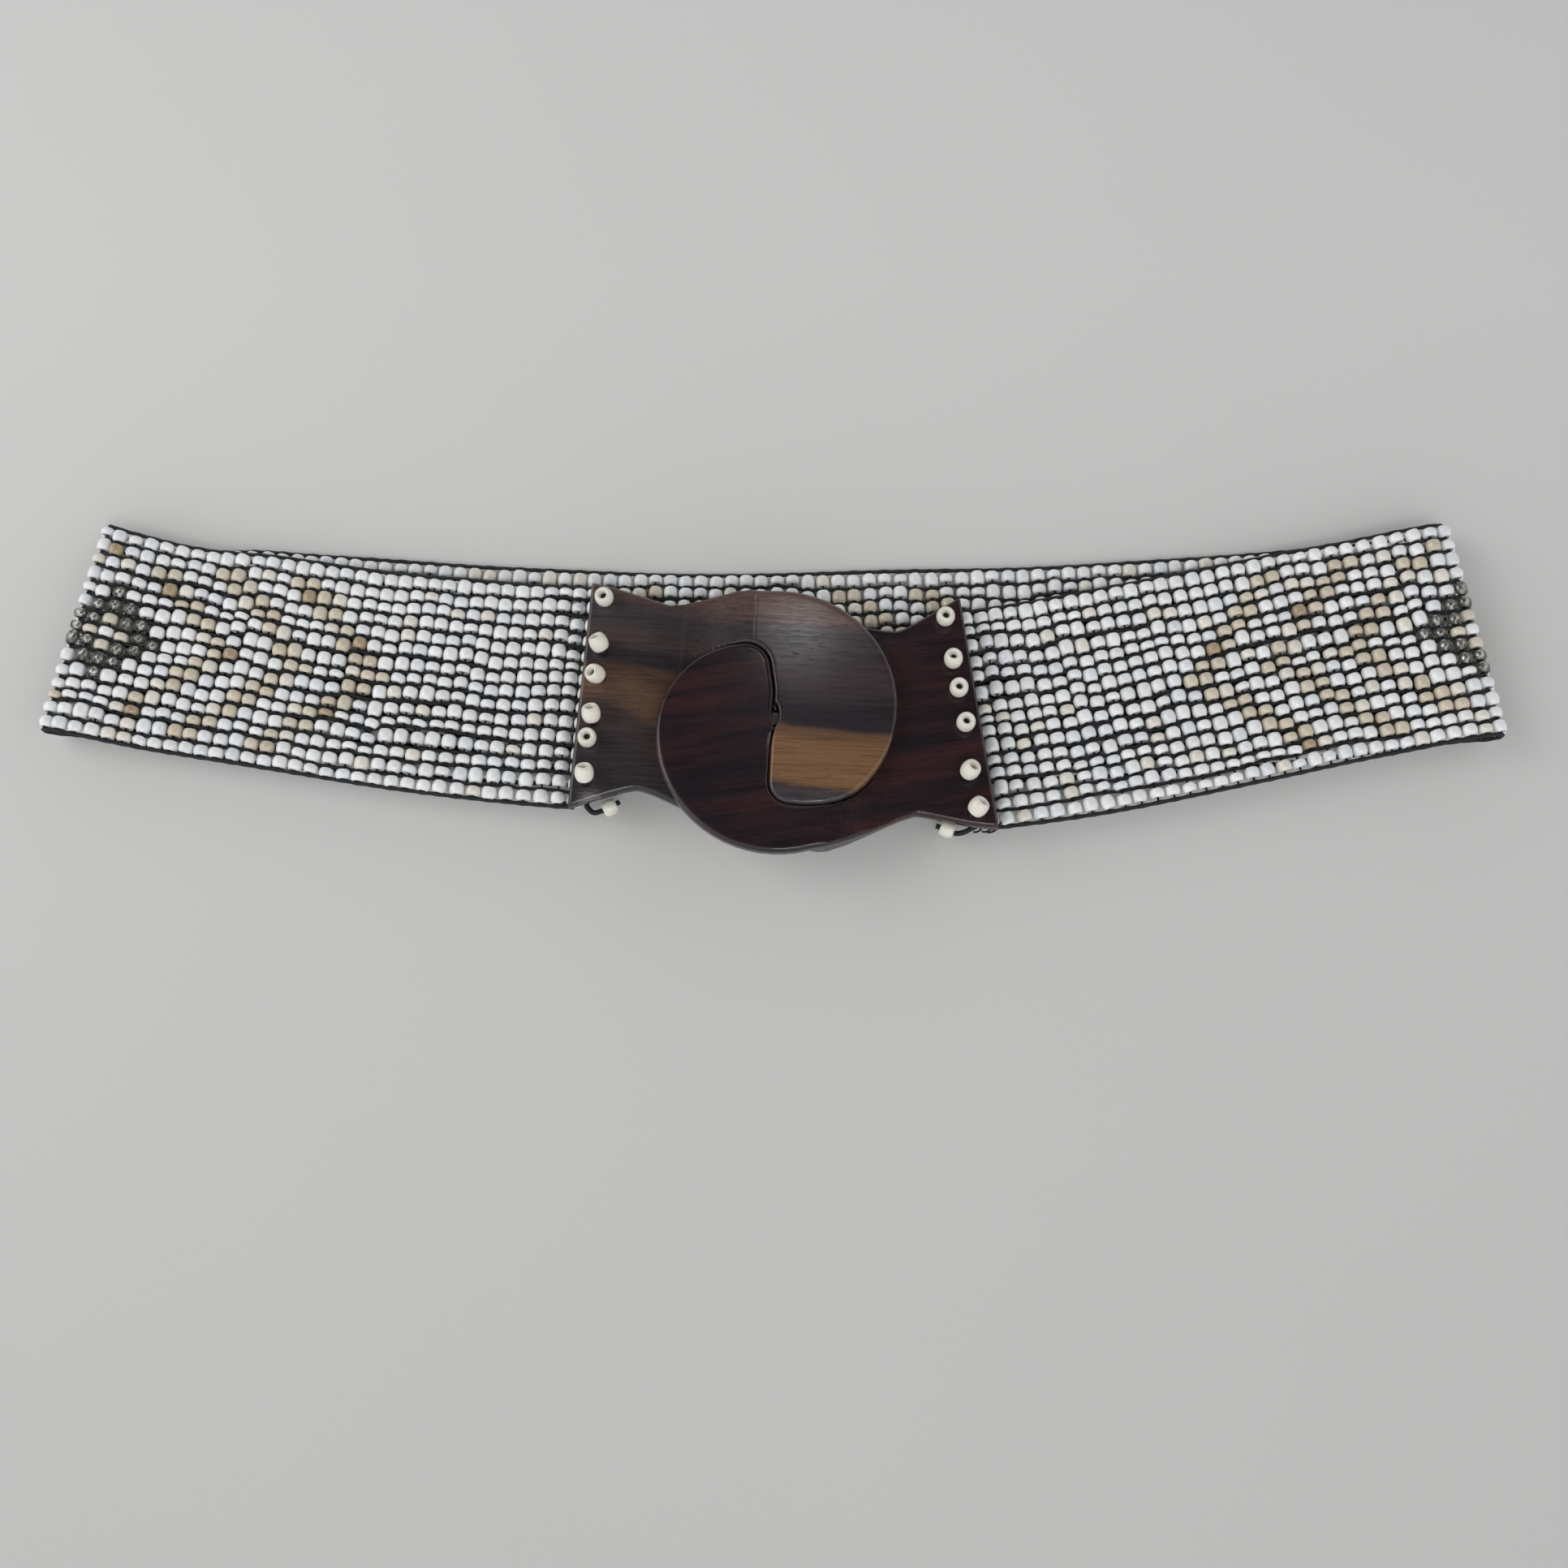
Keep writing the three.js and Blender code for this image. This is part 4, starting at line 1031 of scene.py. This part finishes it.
class BELT_OT_buckle(bpy.types.Operator):
    """Adds the two carved halves of the wooden buckle"""
    bl_idname = "belt.buckle"
    bl_label = "Buckle"

    def execute(self, context):
        settings = context.scene.belt_buckle
        self.carve(context, settings, "left", striped_wood_material(settings), "wood_striped")
        self.carve(context, settings, "right", dark_wood_material(settings), "wood_dark")
        return {"FINISHED"}

    def carve(self, context, settings, side, material, slot):
        """A half's surface as a fine even grid, rubbed down: each pass moves every point half way to the
        mean of its neighbours, and edges beside the other half keep only a share of that. How far a point
        has moved tells how pale its edge is painted, partly for wear and partly as a painted highlight. Then
        every point moves outwards a little, which narrows the parting line."""
        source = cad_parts[f"buckle_hook_{side}"]
        mesh = source.data.copy()
        mesh.materials.clear()
        work = bmesh.new()
        work.from_mesh(mesh)
        bmesh.ops.remove_doubles(work, verts=work.verts, dist=1e-6)
        work.to_mesh(mesh)
        work.free()
        rough = bpy.data.objects.new(f"rough_{side}", mesh)
        context.scene.collection.objects.link(rough)
        remesh = rough.modifiers.new("Grid", "REMESH")
        remesh.mode = "VOXEL"
        remesh.voxel_size = settings.grid_size
        depsgraph = context.evaluated_depsgraph_get()
        fine = bpy.data.meshes.new_from_object(rough.evaluated_get(depsgraph))
        bpy.data.objects.remove(rough)
        count = len(fine.vertices)
        if count == 0:
            raise RuntimeError(f"the {side} half of the buckle came out empty")
        points = np.empty(count * 3)
        fine.vertices.foreach_get("co", points)
        points = points.reshape(-1, 3)
        edges = np.empty(len(fine.edges) * 2, np.int64)
        fine.edges.foreach_get("vertices", edges)
        first, second = edges.reshape(-1, 2).T
        neighbours = np.bincount(first, minlength=count) + np.bincount(second, minlength=count)
        moved = points.copy()
        for step in range(settings.edge_passes):
            total = np.stack([np.bincount(first, moved[second, i], count)
                              + np.bincount(second, moved[first, i], count) for i in range(3)], axis=1)
            moved += 0.5 * (total / neighbours[:, None] - moved)
            if step == 0:
                sharp = moved.copy()
        wear_and_highlight = np.linalg.norm(moved - points, axis=1) / (0.8 * settings.grid_size)
        rounding, pale = edge_shares(points / MM, side)
        moved = sharp + (moved - sharp) * rounding[:, None]
        fine.vertices.foreach_set("co", moved.ravel())
        fine.update()
        outward = np.empty(count * 3, np.float32)
        fine.vertex_normals.foreach_get("vector", outward)
        moved += outward.reshape(-1, 3) * settings.swelling
        moved = eased_ramp(moved / MM, side) * MM
        fine.vertices.foreach_set("co", moved.ravel())
        # Pale edge paint: wear together with a painted highlight on the free rim.
        layer = fine.attributes.new("wear_and_highlight", "FLOAT", "POINT")
        layer.data.foreach_set("value", (wear_and_highlight.clip(0, 1) ** 1.5 * pale).astype(np.float32))
        fine.polygons.foreach_set("use_smooth", np.ones(len(fine.polygons), bool))
        fine.materials.clear()
        fine.materials.append(material)
        fine.update()
        piece = bpy.data.objects.new(f"carved_hook_{side}", fine)
        context.scene.collection.objects.link(piece)
        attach(piece, "root")
        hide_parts(f"buckle_hook_{side}")


def half_frame(points, side):
    """Places in a half's own frame, with the plate to the left and the hook to the right of the eye."""
    turn = HALF_TURNS[side]
    x, y = points[:, 0] - EYE[0], points[:, 1] - EYE[1]
    return x * math.cos(turn) + y * math.sin(turn), y * math.cos(turn) - x * math.sin(turn)


def edge_shares(points, side):
    """How far the edges of a half are rounded at each place, and how pale they are painted, partly for wear
    and partly as a painted highlight where the rim catches the light. Both go by the angle about the disc's
    middle: sharp at the parting line, at the hook's tip and at the plate's end, and palest on the free rim
    beside the hook, where the painted highlight lies."""
    x, y = half_frame(points, side)
    y = y - DISC_RISE[side]
    angle = np.degrees(np.arctan2(y, x))
    rounding = np.interp(angle, (-180, -140, -130, -24, -8, 180), (1, 1, 0, 0, 1, 1))
    rounding *= np.interp(np.hypot(x, y), (DISC_RADIUS - 4, DISC_RADIUS - 2), (0, 1))
    rounding *= np.interp(x, (-50, -44), (0.2, 1))
    # Painted highlight on the free rim beside the hook, mixed with wear; the left half gets less of it.
    rim = np.interp(angle, (-14, -2, 38, 56), (0, 1, 1, 0.1))
    return rounding, rim * (1.0 if side == "right" else 0.3)


def eased_ramp(points, side):
    """The arm's straight ramp made a gentle one: heights over the plate, along the ramp, are multiplied by
    t(3 - 2t), where t goes from 0 at the ramp's foot to 1 at its head."""
    x = half_frame(points, side)[0]
    t = ((x + RAMP_START) / (RAMP_START - RAMP_END)).clip(0, 1)
    above = (points[:, 2] - PLATE_TOP).clip(0, None)
    eased = points.copy()
    eased[:, 2] += above * (t * (3 - 2 * t) - 1) * (x > -RAMP_START)
    return eased


def half_place(side, inward, outward):
    """Row-frame place of a point kept from the lower corner of a plate's end edge."""
    below = -1 if side == "left" else 1
    turn = HALF_TURNS[side]
    x = inward - REACHES[side]
    y = PLATE_ABOVE_EYE + below * (PLATE_HALF_WIDTH + outward)
    return EYE + (x * math.cos(turn) - y * math.sin(turn), x * math.sin(turn) + y * math.cos(turn))


def tail_points(side):
    """Points of a cord's tail, level with the band's front layer."""
    return np.array([(*half_place(side, inward, outward), FRONT_HEIGHT) for inward, outward in TAILS[side]])


def node_middle(name):
    low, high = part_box(name)
    return np.array((low + high) / 2) / MM


def lacing_places(side):
    """Centres and hole directions of a half's six lacing beads."""
    tilt, toward = np.radians(LEANS[side]).T
    toward = toward + TURNS[side]
    axes = np.stack([np.sin(tilt) * np.cos(toward), np.sin(tilt) * np.sin(toward), np.cos(tilt)], axis=1)
    centres = np.array([node_middle(f"lacing_bead_{side}_{i + 1}") for i in range(len(tilt))])
    return centres, axes


class BELT_OT_lacing_beads(bpy.types.Operator):
    """Adds the round beads on the plates and on the cords' tails"""
    bl_idname = "belt.lacing_beads"
    bl_label = "Lacing Beads"

    def execute(self, context):
        settings = context.scene.belt_lacing
        material = lacing_bead_material(settings.bead_colour)
        for side in ("left", "right"):
            centres, axes = lacing_places(side)
            for i, (centre, axis) in enumerate(zip(centres, axes)):
                self.add_bead(f"lacing_bead_{side}_{i + 1}", centre, axis, settings.bead_diameter,
                              settings.bead_length, settings.bead_hole, material)
            tail = tail_points(side)
            axis = unit(tail[TIE_POINT + 1] - tail[TIE_POINT - 1])
            self.add_bead(f"tie_bead_{side}", node_middle(f"tie_bead_{side}"), axis, settings.tie_diameter,
                          settings.tie_length, settings.bead_hole, material)
        return {"FINISHED"}

    def add_bead(self, node, centre, axis, diameter, length, hole, material):
        """One bead, its hole along the axis."""
        size = np.array([diameter, length, hole]) / MM
        sideways = np.array([[0.3, 0.9, 0.1]])
        points, faces = bead_surfaces(centre[None], axis[None], sideways, size[1:2], size[0:1], size[2:3],
                                      np.array([LACING_POWER]), np.arange(0, 360, 15), 32)
        piece = add_piece(f"glass_{node}", points, faces, material)
        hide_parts(node)


class BELT_OT_lacing_cords(bpy.types.Operator):
    """Adds the black cords that tie the band to the plates, with their tails"""
    bl_idname = "belt.lacing_cords"
    bl_label = "Lacing Cords"

    def execute(self, context):
        settings = context.scene.belt_lacing
        material = thread_material(context.scene.belt_colours.thread)
        radius = settings.cord_diameter / MM / 2
        length = settings.bead_length / MM
        for side in ("left", "right"):
            centres, axes = lacing_places(side)
            mouths = centres - axes * (length / 2 + HOLE_DROP)
            bases = np.column_stack([mouths[:, :2], np.full(len(mouths), FRONT_HEIGHT)])
            run = smooth_path(np.concatenate([bases, tail_points(side)]), 8)
            parts = [sweep(run[None], radius, np.array([0.0, 0.0, 1.0]), 10)]
            for base, centre, axis in zip(bases, centres, axes):
                post = [base, base + (0, 0, PLATE_TOP - FRONT_HEIGHT - FIT_GAP),
                        centre - axis * length / 2, centre, centre + axis * (length / 2 - 2 * HOLE_DROP)]
                parts.append(sweep(smooth_path(post, 5)[None], radius, np.array([0.25, 0.9, 0.1]), 10))
            piece = add_cords(f"cord_{side}", parts, material)
            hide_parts(f"lacing_cord_{side}")
        return {"FINISHED"}


class BELT_PT_panel(bpy.types.Panel):
    """Lists the belt's sizes, colours and pieces"""
    bl_idname = "BELT_PT_panel"
    bl_label = "Beaded Belt"
    bl_space_type = "VIEW_3D"
    bl_region_type = "UI"
    bl_category = "Belt"

    def draw(self, context):
        layout = self.layout
        for attribute, operators in PANEL_ROWS:
            box = layout.box()
            settings = getattr(context.scene, attribute)
            for name in settings.__annotations__:
                box.prop(settings, name)
            for operator in operators:
                box.operator(operator)


SETTINGS = (
    ("belt_stage", StageSettings),
    ("belt_weave", WeaveSettings),
    ("belt_colours", BeadColours),
    ("belt_buckle", BuckleSettings),
    ("belt_lacing", LacingSettings),
)
PANEL_ROWS = (
    ("belt_stage", ("belt.stage",)),
    ("belt_weave", ("belt.seed_beads", "belt.threads", "belt.loose_ends")),
    ("belt_colours", ()),
    ("belt_buckle", ("belt.buckle",)),
    ("belt_lacing", ("belt.lacing_beads", "belt.lacing_cords")),
)
OPERATORS = (BELT_OT_stage, BELT_OT_seed_beads, BELT_OT_threads, BELT_OT_loose_ends, BELT_OT_buckle,
             BELT_OT_lacing_beads, BELT_OT_lacing_cords)


def register():
    for _, group in SETTINGS:
        bpy.utils.register_class(group)
    for name, group in SETTINGS:
        setattr(bpy.types.Scene, name, PointerProperty(type=group))
    for operator in OPERATORS:
        bpy.utils.register_class(operator)
    bpy.utils.register_class(BELT_PT_panel)


def unregister():
    bpy.utils.unregister_class(BELT_PT_panel)
    for operator in reversed(OPERATORS):
        bpy.utils.unregister_class(operator)
    for name, group in reversed(SETTINGS):
        delattr(bpy.types.Scene, name)
        bpy.utils.unregister_class(group)


def main():
    register()
    bpy.ops.belt.stage()
    bpy.ops.belt.seed_beads()
    bpy.ops.belt.threads()
    bpy.ops.belt.loose_ends()
    bpy.ops.belt.buckle()
    bpy.ops.belt.lacing_beads()
    bpy.ops.belt.lacing_cords()


if __name__ == "__main__":
    main()
